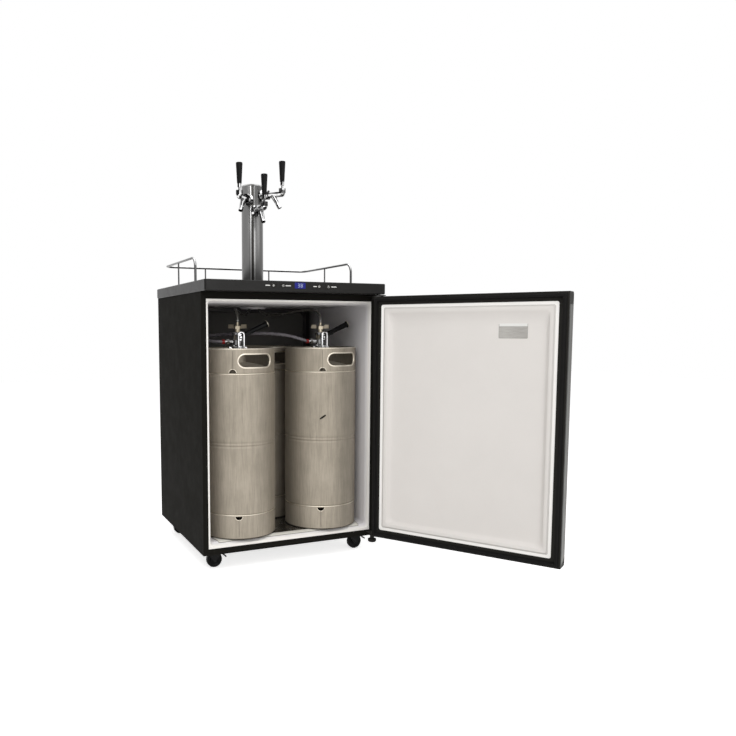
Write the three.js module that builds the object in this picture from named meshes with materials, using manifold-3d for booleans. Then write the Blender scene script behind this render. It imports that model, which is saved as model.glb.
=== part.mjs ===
// A keg cooler on casters: an insulated cabinet that holds three slim kegs, with its door
// standing open, a draught tower with three taps on the worktop and a chrome guard rail.
// Millimetres, +Z up, the door side faces -Y. The cabinet is drawn about its own centre line,
// with its front face at y = 0 and the floor at z = 0, and the last lines move it to its origin.

import * as THREE from "three";
import { mergeVertices } from "three/addons/utils/BufferGeometryUtils.js";
import Module from "manifold-3d";

// Driving dimensions

const clearance = 0.3; // gap between pieces that touch
const overrun = 2; // how far a cutting shape passes what it cuts
const mergeDistance = 1e-4;

const cabinet = {
  width: 600,
  depth: 552,
  underside: 60,
  top: 871,
  sheet: 1.5,
  frameBar: 16.5,
  openingFoot: 80,
  openingHead: 850,
};

// The compressor bay is in the lower rear, and its depth is measured from the cabinet's back.
const bay = { front: cabinet.depth - 94, head: 235 };

const liner = {
  wall: 2.4,
  side: 27.5, // from the cabinet's side to the inner face
  floor: 98,
  ceiling: 838,
  back: cabinet.depth - 55,
  lipDepth: 16,
  flareSide: 6,
  flareFoot: 10,
  flareHead: 6,
  corner: 8,
  humpFront: cabinet.depth - 114,
  humpHead: 262,
};

const backCover = { inset: 12, foot: 276, head: 826, thickness: 7, wall: 1.6, slope: 5, corner: 24 };
const tray = { side: 16, front: 26, backGap: 4, sheet: 1.5, clip: 34 };

const worktop = {
  width: 608,
  front: -58,
  height: 34,
  corner: 5,
  edge: 2,
  pocketDepth: 26,
  pocketWall: 8,
};

const display = { width: 36, height: 18, z: 892, thickness: 1.4, corner: 2 };
const key = { width: 19, height: 12, thickness: 4, z: 890.5, corner: 3, pocket: 6, travel: 0.8 };
const keyPlaces = { light: -88, cooler: -57, warmer: 65, power: 97 };

const rail = {
  side: worktop.width / 2 - 27,
  front: 132,
  back: cabinet.depth - 30,
  rise: 80,
  radius: 4,
  bend: 32,
  postRadius: 2.6,
  sidePostY: 338,
  rearPostX: 127,
  footRadius: 9,
  footHeight: 3,
};

const tower = { y: 360, radius: 38, wall: 2, headroom: 30.5 };
const towerCap = { rise: 7, skirt: 12, edge: 5 };
const towerFlange = { radius: 60, thickness: 4, neck: 15, neckWall: 3.5 };
const duct = { inner: 30, wall: 2.5, flange: 46, flangeHeight: 6 };

const tap = {
  splay: 42, // degrees between the outer taps and the middle one
  middle: 1174,
  left: 1211.5,
  right: 1229.5,
  elbowReach: 20,
  elbowRadius: 8,
  elbowDrop: 20,
  nippleRadius: 5,
  shankRadius: 7.5,
  collarRadius: 20,
  collarDepth: 9,
  nutRadius: 16.5,
  nutStart: 51,
  nutDepth: 15,
  barrelRadius: 10.5,
  pivotReach: 118,
  pivotRise: 14,
  bonnetRadius: 12,
  bonnetBore: 9.3,
  bonnetRise: 4,
  bonnetDepth: 15,
  ballRadius: 8.6,
  ballFlat: 7,
  stemRadius: 3.6,
  ferruleRadius: 6.6,
  ferruleStart: 13,
  ferruleEnd: 27,
  spoutRoot: 80,
  spoutTip: 109,
  spoutDrop: 48,
  spoutRootRadius: 10,
  spoutTipRadius: 7.6,
  spoutBore: 5.6,
  spoutBoreDepth: 16,
};
const tapHandle = { length: 70, bottomRadius: 7.6, topRadius: 11.4, edge: 1.6 };

const keg = {
  radius: 120,
  height: 600,
  wall: 2.4,
  rimBead: 3.2,
  seam: 3,
  collar: 79,
  chime: 76,
  ribRise: 299,
  ribHeight: 9,
  ribDepth: 1.6,
  shoulder: 34,
  domeRise: 30,
  neckRadius: 26,
  neckBore: 13.5,
  neckBelowRim: 5,
  gripWidth: 120,
  gripHeight: 40,
  gripBelowRim: 19,
  notchRadius: 11,
  notchTurn: 41, // degrees from the hand hole to the drain notch
};
const kegFacets = 24;
const kegPlaces = {
  left: { x: -146, y: 110, turn: -79 },
  right: { x: 150, y: 110, turn: -74 },
  rear: { x: 2, y: 312, turn: -60 },
};

const coupler = {
  baseRadius: 24,
  baseHeight: 12,
  lugReach: 30,
  lugWidth: 13,
  lugHeight: 7,
  bodyRadius: 17,
  bodyHead: 30,
  bore: 12.6,
  cheekInner: 12.9,
  cheekOuter: 17.9,
  cheekHalf: 9,
  cheekHead: 49,
  ringRadius: 18,
  ringFoot: 46,
  ringHead: 54,
  pivotX: 4,
  pivotZ: 38,
  pinRadius: 3,
  pinReach: 22.4,
  inletZ: 24,
  inletRadius: 6,
  inletReach: 30,
  inletNutRadius: 9,
  inletNutDepth: 8,
  nippleReach: 45,
  nippleRadius: 4.6,
  probeRadius: 12,
  probeFoot: -18,
  probeHead: 20,
  threadRadius: 8.5,
  wingFoot: 64,
  wingHead: 74,
  hubRadius: 13,
  wingReach: 32,
  wingHalf: 3.6,
  wingRise: 5,
  wingTurn: -50, // degrees
  tailRadius: 4.6,
  tailHead: 86,
};
const lever = {
  lift: 24, // degrees above level while the keg is tapped
  armInner: 18.6,
  armOuter: 21.8,
  armBack: 6,
  armHalf: 5,
  barStart: 28,
  barEnd: 35,
  gripEnd: 108,
  gripRootRadius: 7,
  gripMidRadius: 9,
  gripTipRadius: 11.5,
  tipLength: 8,
};

const beerLine = { radius: 4.25 };
const gasHose = { radius: 5.5 };
const hoseFacets = 8;
const hoseSteps = 28;
const beerLineSteps = 44;
const manifold = {
  width: 56,
  front: cabinet.depth - 122,
  depth: 25,
  foot: 722,
  height: 24,
  firstPort: 14,
  portPitch: 28,
  portReach: 18,
  portRadius: 4.6,
};

const compressor = {
  x: -120,
  radius: 43,
  foot: 76,
  head: 214,
  edge: 22,
  plateLength: 128,
  plateWidth: 76,
  plate: 3,
  mountRadius: 9,
  mountInset: 13,
  boxWidth: 34,
  boxDepth: 22,
  boxHeight: 52,
  boxRise: 44,
};

const door = {
  width: cabinet.width,
  bottom: 79,
  top: 863,
  inner: 14, // from the cabinet's front face to the door's inner plane
  thickness: 49,
  hingeInset: 8,
  hingeFromFace: 6.4,
  openAngle: 122.66, // degrees
  border: 27,
  skin: 1.2,
  skinReturn: 38,
  topCap: 35,
  bottomCap: 26,
  bottomCapInner: 9,
  capCorner: 7,
};
const doorLiner = {
  wall: 2.2,
  flange: 9,
  ridge: 2.5,
  ridgeSlope: 4,
  ridgeTop: 11,
  dishSlope: 14,
  dish: 9,
  corner: 6,
  dishCorner: 26,
};
const gasket = { inset: 5, width: 12, baseHeight: 4.6, magnetInset: 2, magnetWidth: 8, magnetHeight: 8.1 };

const hinge = {
  plate: 3,
  plateWidth: 31,
  plateFront: 66,
  topPlateZ: 866,
  lowPlateZ: 73,
  tabHeight: 10,
  tabWidth: 15,
  pinRadius: 4,
  pinDepth: 13,
  footInset: 32,
  footY: -48,
  footRadius: 14,
  footHeight: 20,
  footEdge: 3,
};

const caster = {
  inset: 46,
  frontY: 68,
  rearInset: 64,
  trail: 8,
  wheelRadius: 25,
  wheelWidth: 18,
  hubRadius: 13,
  hubRecess: 3,
  axleRadius: 3.6,
  boreGap: 0.5,
  legGap: 1.2,
  legThickness: 2.5,
  crownFoot: 51.4,
  crownHead: 56,
  crownBack: 14,
  crownFront: 30,
  raceRadius: 15,
  stemRadius: 5,
  stemHeight: 8,
  axleBoss: 7,
  pedalX: 27,
  pedalZ: 47,
  pedalPin: 2,
  pedalBarrel: 3.6,
  pedalTipX: 45,
  pedalTipZ: 32,
  pedalThickness: 3.4,
  earFoot: 44,
};

const roundFacets = 24;
const wheelFacets = 20;
const turnedFacets = 16;
const smallFacets = 10;
const cornerSteps = 2;

// Finishes

const finishes = {
  blackPaint: { color: 0x211f1e, roughness: 0.42, metalness: 0.0 },
  blackPlastic: { color: 0x1b1a1a, roughness: 0.5, metalness: 0.0 },
  worktopPlastic: { color: 0x3a3836, roughness: 0.48, metalness: 0.0 },
  foam: { color: 0xd9c58a, roughness: 0.95, metalness: 0.0 },
  whitePlastic: { color: 0xe9e7e4, roughness: 0.4, metalness: 0.0 },
  darkPlate: { color: 0x1d1d1d, roughness: 0.5, metalness: 0.2 },
  zinc: { color: 0x8f918f, roughness: 0.45, metalness: 0.9 },
  brushedSteel: { color: 0xb5aea2, roughness: 0.36, metalness: 1.0 },
  chrome: { color: 0xdadbdc, roughness: 0.1, metalness: 1.0 },
  rubber: { color: 0x161616, roughness: 0.75, metalness: 0.0 },
  screen: { color: 0x1c2a8c, roughness: 0.1, metalness: 0.0 },
  clearHose: { color: 0xaab0a6, roughness: 0.3, metalness: 0.0 },
  greyHose: { color: 0x6b6870, roughness: 0.4, metalness: 0.0 },
};

// Working in solids

const wasm = await Module();
wasm.setup();

function toSolid(geometry) {
  const bare = geometry.clone();
  bare.deleteAttribute("normal");
  bare.deleteAttribute("uv");
  const merged = mergeVertices(bare, mergeDistance);
  const corners = [];
  const index = merged.index.array;
  for (let i = 0; i < index.length; i += 3) {
    const [a, b, c] = index.slice(i, i + 3);
    if (a !== b && b !== c && c !== a) corners.push(a, b, c);
  }
  const vertProperties = Float32Array.from(merged.attributes.position.array);
  const build = (triVerts) =>
    new wasm.Manifold(new wasm.Mesh({ numProp: 3, vertProperties, triVerts: Uint32Array.from(triVerts) }));
  const solid = build(corners);
  return solid.volume() < 0 ? build(corners.reverse()) : solid;
}

function toGeometry(solid) {
  const mesh = solid.getMesh();
  const geometry = new THREE.BufferGeometry();
  geometry.setAttribute("position", new THREE.BufferAttribute(mesh.vertProperties, 3));
  geometry.setIndex(new THREE.BufferAttribute(mesh.triVerts, 1));
  geometry.computeVertexNormals();
  return geometry;
}

function join(...geometries) {
  const solids = geometries.map(toSolid);
  return toGeometry(solids.reduce((whole, next) => whole.add(next)));
}

function cut(geometry, ...cutters) {
  const solids = cutters.map(toSolid);
  return toGeometry(solids.reduce((whole, next) => whole.subtract(next), toSolid(geometry)));
}

// Basic forms

function block([x0, x1], [y0, y1], [z0, z1]) {
  const geometry = new THREE.BoxGeometry(x1 - x0, y1 - y0, z1 - z0);
  return geometry.translate((x0 + x1) / 2, (y0 + y1) / 2, (z0 + z1) / 2);
}

// A form turned about Z from [radius, height] pairs.
function turned(profile, facets = turnedFacets) {
  const points = profile.map(([r, z]) => new THREE.Vector2(r, z));
  return new THREE.LatheGeometry(points, facets).rotateX(Math.PI / 2);
}

// The same, with the pairs closed on themselves, for a ring.
function turnedRing(profile, facets = turnedFacets) {
  return turned([...profile, profile[0]], facets);
}

function disc(radius, z0, z1, facets = turnedFacets) {
  return turned([[0, z0], [radius, z0], [radius, z1], [0, z1]], facets);
}

// Points a form turned about Z along +X instead.
const alongX = (geometry) => geometry.rotateY(Math.PI / 2);
const alongY = (geometry) => geometry.rotateX(-Math.PI / 2);
const turnedAbout = (geometry, degrees) => geometry.rotateZ(THREE.MathUtils.degToRad(degrees));

// A flat outline drawn in (y, z) and drawn out along X between two places.
function profileAlongX(points, x0, x1) {
  const outline = new THREE.Shape(points.map(([y, z]) => new THREE.Vector2(y, z)));
  const geometry = new THREE.ExtrudeGeometry(outline, { depth: x1 - x0, bevelEnabled: false });
  return geometry.rotateX(Math.PI / 2).rotateZ(Math.PI / 2).translate(x0, 0, 0);
}

// A flat outline drawn in (x, z) and drawn out along Y between two places.
function profileAlongY(points, y0, y1) {
  const outline = new THREE.Shape(points.map(([x, z]) => new THREE.Vector2(x, -z)));
  const geometry = new THREE.ExtrudeGeometry(outline, { depth: y1 - y0, bevelEnabled: false });
  return geometry.rotateX(-Math.PI / 2).translate(0, y0, 0);
}

// A flat outline drawn in (x, y) and drawn out along Z between two places.
function profileAlongZ(outline, z0, z1, options = {}) {
  const settings = { depth: z1 - z0, bevelEnabled: false, curveSegments: cornerSteps, ...options };
  return new THREE.ExtrudeGeometry(outline, settings).translate(0, 0, z0);
}

function roundedOutline([x0, x1], [y0, y1], radius) {
  const outline = new THREE.Shape();
  outline.moveTo(x0 + radius, y0);
  outline.lineTo(x1 - radius, y0);
  outline.absarc(x1 - radius, y0 + radius, radius, -Math.PI / 2, 0);
  outline.lineTo(x1, y1 - radius);
  outline.absarc(x1 - radius, y1 - radius, radius, 0, Math.PI / 2);
  outline.lineTo(x0 + radius, y1);
  outline.absarc(x0 + radius, y1 - radius, radius, Math.PI / 2, Math.PI);
  outline.lineTo(x0, y0 + radius);
  outline.absarc(x0 + radius, y0 + radius, radius, Math.PI, 1.5 * Math.PI);
  return outline;
}

// A rounded rectangle standing across Y, as one section of a loft.
function section([x0, x1], [z0, z1], radius, y) {
  const outline = roundedOutline([x0, x1], [z0, z1], radius);
  const flat = outline.getPoints(cornerSteps);
  if (flat[0].distanceTo(flat[flat.length - 1]) < mergeDistance) flat.pop();
  return flat.map((p) => new THREE.Vector3(p.x, y, p.y));
}

// Joins sections that have as many points each, and closes both ends.
function loft(sections) {
  const count = sections[0].length;
  const positions = sections.flat().flatMap((p) => [p.x, p.y, p.z]);
  const index = [];
  for (let s = 0; s + 1 < sections.length; s += 1) {
    for (let i = 0; i < count; i += 1) {
      const a = s * count + i;
      const b = s * count + ((i + 1) % count);
      index.push(a, b, b + count, a, b + count, a + count);
    }
  }
  const last = (sections.length - 1) * count;
  for (let i = 1; i + 1 < count; i += 1) {
    index.push(0, i + 1, i);
    index.push(last, last + i, last + i + 1);
  }
  const geometry = new THREE.BufferGeometry();
  geometry.setAttribute("position", new THREE.Float32BufferAttribute(positions, 3));
  geometry.setIndex(index);
  return geometry;
}

// A route through points, whose rings stand at the points themselves.
class Route extends THREE.Curve {
  constructor(points) {
    super();
    this.points = points;
  }

  getPoint(t, target = new THREE.Vector3()) {
    const place = t * (this.points.length - 1);
    const from = Math.min(Math.floor(place), this.points.length - 2);
    return target.lerpVectors(this.points[from], this.points[from + 1], place - from);
  }

  getPointAt(u, target) {
    return this.getPoint(u, target);
  }

  getTangentAt(u, target = new THREE.Vector3()) {
    const at = Math.round(u * (this.points.length - 1));
    const before = this.points[Math.max(at - 1, 0)];
    const after = this.points[Math.min(at + 1, this.points.length - 1)];
    return target.subVectors(after, before).normalize();
  }
}

function tube(points, radius, facets) {
  const outline = new THREE.Shape();
  for (let i = 0; i < facets; i += 1) {
    const angle = (i * 2 * Math.PI) / facets;
    const place = [radius * Math.cos(angle), radius * Math.sin(angle)];
    if (i === 0) outline.moveTo(...place);
    else outline.lineTo(...place);
  }
  const extrudePath = new Route(points);
  return new THREE.ExtrudeGeometry(outline, { steps: points.length - 1, extrudePath });
}

const point = (x, y, z) => new THREE.Vector3(x, y, z);

// The tree of pieces

const kegCooler = new THREE.Group();
const stand = new THREE.Group();
kegCooler.add(stand);

function add(name, geometry, finish, group = stand) {
  const mesh = new THREE.Mesh(toGeometry(toSolid(geometry)), new THREE.MeshStandardMaterial(finishes[finish]));
  mesh.name = name;
  group.add(mesh);
  return mesh;
}

function groupAt(x, y, z, parent = stand) {
  const group = new THREE.Group();
  group.position.set(x, y, z);
  parent.add(group);
  return group;
}

// Places that several pieces share

const halfWidth = cabinet.width / 2;
const openingHalf = halfWidth - cabinet.frameBar;
const insideHalf = halfWidth - liner.side;
const skinInner = halfWidth - cabinet.sheet - clearance;
const worktopFoot = cabinet.top + clearance;
const worktopTop = cabinet.top + worktop.height;
const ductOuter = duct.inner + duct.wall;
const ductHole = ductOuter + clearance;
const trayFloor = liner.floor + clearance + tray.sheet;
const kegFoot = trayFloor + clearance;
const kegRim = kegFoot + keg.height;
const neckTop = kegRim - keg.neckBelowRim;
const casterX = halfWidth - caster.inset;
const casterPlaces = {
  front_left: { x: -casterX, y: caster.frontY },
  front_right: { x: casterX, y: caster.frontY },
  rear_left: { x: -casterX, y: cabinet.depth - caster.rearInset },
  rear_right: { x: casterX, y: cabinet.depth - caster.rearInset },
};

function ductCutter(z0, z1) {
  return disc(ductHole, z0 - overrun, z1 + overrun, turnedFacets).translate(0, tower.y, 0);
}

// Cabinet

function cabinetShell() {
  const { width, depth, underside, top, sheet, openingFoot, openingHead } = cabinet;
  const outer = block([-width / 2, width / 2], [0, depth], [underside, top]);
  const inside = halfWidth - sheet;
  const hollow = block([-inside, inside], [sheet, depth + overrun], [underside - overrun, top - sheet]);
  const opening = block([-openingHalf, openingHalf], [-overrun, sheet + overrun], [openingFoot, openingHead]);
  const floorBar = block([-inside, inside], [0, sheet], [underside, openingFoot]);
  return join(cut(outer, hollow, opening, ductCutter(top - sheet, top)), floorBar);
}

// The liner's hollow, or its outside when grown by the wall, from a given front plane.
function linerForm(grow, front) {
  const half = insideHalf + grow;
  const height = [liner.floor - grow, liner.ceiling + grow];
  const radius = liner.corner + grow;
  return loft([
    section([-half, half], height, radius, front),
    section([-half, half], height, radius, liner.back + grow),
  ]);
}

function linerHump(grow) {
  const head = liner.humpHead - grow;
  const front = liner.humpFront + grow;
  const deep = liner.back + grow + overrun;
  return block([-halfWidth, halfWidth], [front, deep], [liner.floor - grow - overrun, head]);
}

function linerFlare() {
  const wide = insideHalf + liner.flareSide;
  const tall = [liner.floor - liner.flareFoot, liner.ceiling + liner.flareHead];
  const inside = [liner.floor, liner.ceiling];
  return loft([
    section([-wide, wide], tall, liner.corner, -overrun),
    section([-wide, wide], tall, liner.corner, 0),
    section([-insideHalf, insideHalf], inside, liner.corner, liner.lipDepth),
    section([-insideHalf, insideHalf], inside, liner.corner, liner.lipDepth + overrun),
  ]);
}

function innerLiner() {
  const lipHalf = openingHalf - clearance;
  const lipHeight = [cabinet.openingFoot + clearance, cabinet.openingHead - clearance];
  const lip = block([-lipHalf, lipHalf], [0, liner.lipDepth], lipHeight);
  const outside = cut(linerForm(liner.wall, liner.lipDepth / 2), linerHump(liner.wall));
  const hollow = cut(linerForm(0, liner.lipDepth), linerHump(0));
  const shell = cut(join(lip, outside), hollow, linerFlare());
  return cut(shell, ductCutter(liner.ceiling, liner.ceiling + liner.wall));
}

function insulation() {
  const front = cabinet.sheet + clearance;
  const back = cabinet.depth - cabinet.sheet - clearance;
  const foot = cabinet.underside + cabinet.sheet + clearance;
  const head = cabinet.top - cabinet.sheet - clearance;
  const whole = block([-skinInner, skinInner], [front, back], [foot, head]);
  const lipHeight = [cabinet.openingFoot, cabinet.openingHead];
  const lipRoom = block([-openingHalf, openingHalf], [0, liner.lipDepth + clearance], lipHeight);
  const grown = liner.wall + clearance;
  const linerRoom = cut(linerForm(grown, 0), linerHump(grown));
  const bayRoom = block(
    [-halfWidth, halfWidth],
    [bay.front - clearance, cabinet.depth],
    [cabinet.underside, bay.head + clearance],
  );
  const stems = Object.values(casterPlaces).map(({ x, y }) => {
    const radius = caster.stemRadius + cabinet.sheet;
    const top = cabinet.underside + caster.stemHeight + cabinet.sheet;
    return disc(radius, cabinet.underside, top, smallFacets).translate(x, y, 0);
  });
  return cut(whole, lipRoom, linerRoom, bayRoom, ductCutter(liner.ceiling, head), ...stems);
}

function basePan() {
  const { underside, sheet, depth } = cabinet;
  const front = sheet + clearance;
  const back = depth - sheet - clearance;
  const outline = [
    [front, underside],
    [back, underside],
    [back, underside + sheet],
    [bay.front + sheet, underside + sheet],
    [bay.front + sheet, bay.head - sheet],
    [back, bay.head - sheet],
    [back, bay.head],
    [bay.front, bay.head],
    [bay.front, underside + sheet],
    [front, underside + sheet],
  ];
  const pan = profileAlongX(outline, -skinInner, skinInner);
  const holes = Object.values(casterPlaces).map(({ x, y }) => {
    const radius = caster.stemRadius + clearance;
    return disc(radius, underside - overrun, underside + sheet + overrun, smallFacets).translate(x, y, 0);
  });
  return cut(pan, ...holes);
}

function backPanel() {
  const { depth, sheet, top } = cabinet;
  const height = [bay.head + clearance, top - sheet - clearance];
  return block([-skinInner, skinInner], [depth - sheet, depth], height);
}

function backWallCover() {
  const { inset, foot, head, thickness, wall, slope, corner } = backCover;
  const half = insideHalf - inset;
  const back = liner.back - clearance;
  const front = back - thickness;
  const body = loft([
    section([-half, half], [foot, head], corner, back),
    section([-half, half], [foot, head], corner, back - wall),
    section([-half + slope, half - slope], [foot + slope, head - slope], corner - slope, front),
  ]);
  const rim = slope + wall;
  const pocket = loft([
    section([-half + rim, half - rim], [foot + rim, head - rim], corner - slope, back + overrun),
    section([-half + rim, half - rim], [foot + rim, head - rim], corner - slope, front + wall),
  ]);
  return cut(body, pocket);
}

function floorTray() {
  const half = insideHalf - tray.side;
  const { clip, front } = tray;
  const back = liner.humpFront - tray.backGap;
  const outline = new THREE.Shape();
  outline.moveTo(-half + clip, front);
  outline.lineTo(half - clip, front);
  outline.lineTo(half, front + clip);
  outline.lineTo(half, back);
  outline.lineTo(-half, back);
  outline.lineTo(-half, front + clip);
  outline.closePath();
  return profileAlongZ(outline, liner.floor + clearance, trayFloor);
}

add("cabinet_shell", cabinetShell(), "blackPaint");
add("inner_liner", innerLiner(), "whitePlastic");
add("insulation", insulation(), "foam");
add("base_pan", basePan(), "zinc");
add("back_panel", backPanel(), "blackPaint");
add("back_wall_cover", backWallCover(), "darkPlate");
add("floor_tray", floorTray(), "zinc");

// Worktop with its control strip

function facePlate(width, height, corner, x, z, y0, y1) {
  const across = [x - width / 2, x + width / 2];
  const up = [z - height / 2, z + height / 2];
  return loft([section(across, up, corner, y0), section(across, up, corner, y1)]);
}

function worktopSlab() {
  const half = worktop.width / 2;
  const inset = worktop.edge;
  const outline = roundedOutline(
    [-half + inset, half - inset],
    [worktop.front + inset, cabinet.depth - inset],
    worktop.corner,
  );
  const slab = profileAlongZ(outline, worktopFoot + inset, worktopTop - inset, {
    bevelEnabled: true,
    bevelThickness: inset,
    bevelSize: inset,
    bevelSegments: 1,
  });
  const wall = worktop.pocketWall;
  const room = block(
    [-half + wall, half - wall],
    [wall, cabinet.depth - wall],
    [worktopFoot - overrun, cabinet.top + worktop.pocketDepth],
  );
  const ductRib = disc(ductHole + wall, worktopFoot, worktopTop - wall).translate(0, tower.y, 0);
  const front = worktop.front;
  const pockets = Object.values(keyPlaces).map((x) => {
    const grown = 2 * clearance;
    const across = key.width + grown;
    const up = key.height + grown;
    return facePlate(across, up, key.corner, x, key.z, front - overrun, front + key.pocket);
  });
  const across = display.width + 2 * clearance;
  const up = display.height + 2 * clearance;
  const deep = front + display.thickness + clearance;
  const window = facePlate(across, up, display.corner, 0, display.z, front - overrun, deep);
  const hollow = cut(slab, cut(room, ductRib), window, ...pockets);
  return cut(hollow, ductCutter(worktopFoot, worktopTop));
}

function displayWindow() {
  const back = worktop.front + display.thickness;
  return facePlate(display.width, display.height, display.corner, 0, display.z, worktop.front, back);
}

function controlKey(x) {
  const back = worktop.front + key.thickness;
  return facePlate(key.width, key.height, key.corner, x, key.z, worktop.front, back);
}

add("worktop", worktopSlab(), "worktopPlastic");
add("display_window", displayWindow(), "screen");
for (const [name, x] of Object.entries(keyPlaces)) {
  add(`key_${name}`, controlKey(x), "blackPlastic");
}

// Guard rail: one bent tube with four posts under it

function railBend(centre, fromAngle, plane, steps = 3) {
  return Array.from({ length: steps + 1 }, (_, i) => {
    const angle = THREE.MathUtils.degToRad(fromAngle + (i * 90) / steps);
    const along = rail.bend * Math.cos(angle);
    const away = rail.bend * Math.sin(angle);
    return plane === "side" ? point(0, along, away).add(centre) : point(along, away, 0).add(centre);
  });
}

function guardRail() {
  const { side, front, back, rise, radius, bend, postRadius, footRadius, footHeight } = rail;
  const foot = worktopTop + clearance;
  const head = worktopTop + rise;
  const leftFront = railBend(point(-side, front + bend, head - bend), 90, "side").reverse();
  const leftBack = railBend(point(-side + bend, back - bend, head), 90, "flat").reverse();
  const rightBack = railBend(point(side - bend, back - bend, head), 0, "flat").reverse();
  const rightFront = railBend(point(side, front + bend, head - bend), 90, "side");
  const route = [
    point(-side, front, foot),
    ...leftFront,
    ...leftBack,
    ...rightBack,
    ...rightFront,
    point(side, front, foot),
  ];
  const post = (x, y) => disc(postRadius, foot, head, smallFacets).translate(x, y, 0);
  const flange = (x, y) => disc(footRadius, foot, foot + footHeight, smallFacets).translate(x, y, 0);
  const posts = [
    [-side, rail.sidePostY],
    [side, rail.sidePostY],
    [-rail.rearPostX, back],
    [rail.rearPostX, back],
  ];
  const feet = [[-side, front], [side, front], ...posts];
  return join(
    tube(route, radius, hoseFacets),
    ...posts.map(([x, y]) => post(x, y)),
    ...feet.map(([x, y]) => flange(x, y)),
  );
}

// The front bends turn from upright to level, so their arcs run the other way round.
add("guard_rail", guardRail(), "chrome");

// Draught tower

const tapPlaces = {
  left: { turn: -tap.splay, z: tap.left },
  middle: { turn: 0, z: tap.middle },
  right: { turn: tap.splay, z: tap.right },
};
const towerFoot = worktopTop + clearance;
const towerTop = Math.max(tap.left, tap.middle, tap.right) + tower.headroom;

function shankHole({ turn, z }) {
  const radius = tap.shankRadius + 2 * clearance;
  const hole = alongY(disc(radius, -tower.radius - overrun, 0, smallFacets));
  return turnedAbout(hole, turn).translate(0, 0, z);
}

function towerColumn() {
  const inner = tower.radius - tower.wall;
  const profile = [
    [inner, towerFoot],
    [tower.radius, towerFoot],
    [tower.radius, towerTop],
    [inner, towerTop],
  ];
  return cut(turnedRing(profile, roundFacets), ...Object.values(tapPlaces).map(shankHole));
}

function towerCapForm() {
  const plug = tower.radius - tower.wall - clearance;
  const foot = towerTop + clearance;
  const head = foot + towerCap.rise;
  const { edge, skirt } = towerCap;
  const slope = Math.SQRT1_2 * edge;
  return turned(
    [
      [0, foot - skirt + tower.wall],
      [plug - tower.wall, foot - skirt + tower.wall],
      [plug - tower.wall, foot - skirt],
      [plug, foot - skirt],
      [plug, foot],
      [tower.radius, foot],
      [tower.radius, head - edge],
      [tower.radius - edge + slope, head - edge + slope],
      [tower.radius - edge, head],
      [0, head],
    ],
    roundFacets,
  );
}

function towerFlangeForm() {
  const bore = tower.radius + clearance;
  const { radius, thickness, neck, neckWall } = towerFlange;
  return turnedRing(
    [
      [bore, towerFoot],
      [radius, towerFoot],
      [radius, towerFoot + thickness / 2],
      [radius - thickness / 2, towerFoot + thickness],
      [bore + 2 * neckWall, towerFoot + thickness],
      [bore + neckWall, towerFoot + thickness + neckWall],
      [bore + neckWall, towerFoot + neck],
      [bore, towerFoot + neck],
    ],
    roundFacets,
  );
}

function towerDuct() {
  const flangeTop = liner.ceiling - clearance;
  const flangeFoot = flangeTop - duct.flangeHeight;
  return turnedRing(
    [
      [duct.inner, flangeFoot],
      [duct.flange - duct.wall, flangeFoot],
      [duct.flange, flangeFoot + duct.wall],
      [duct.flange, flangeTop],
      [ductOuter, flangeTop],
      [ductOuter, worktopTop],
      [duct.inner, worktopTop],
    ],
    turnedFacets,
  );
}

const towerGroup = groupAt(0, tower.y, 0);
add("tower_column", towerColumn(), "brushedSteel", towerGroup);
add("tower_cap", towerCapForm(), "brushedSteel", towerGroup);
add("tower_flange", towerFlangeForm(), "chrome", towerGroup);
add("tower_duct", towerDuct(), "whitePlastic", towerGroup);

// A tap, drawn with its outward direction along +X and its shank's axis at z = 0

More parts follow.
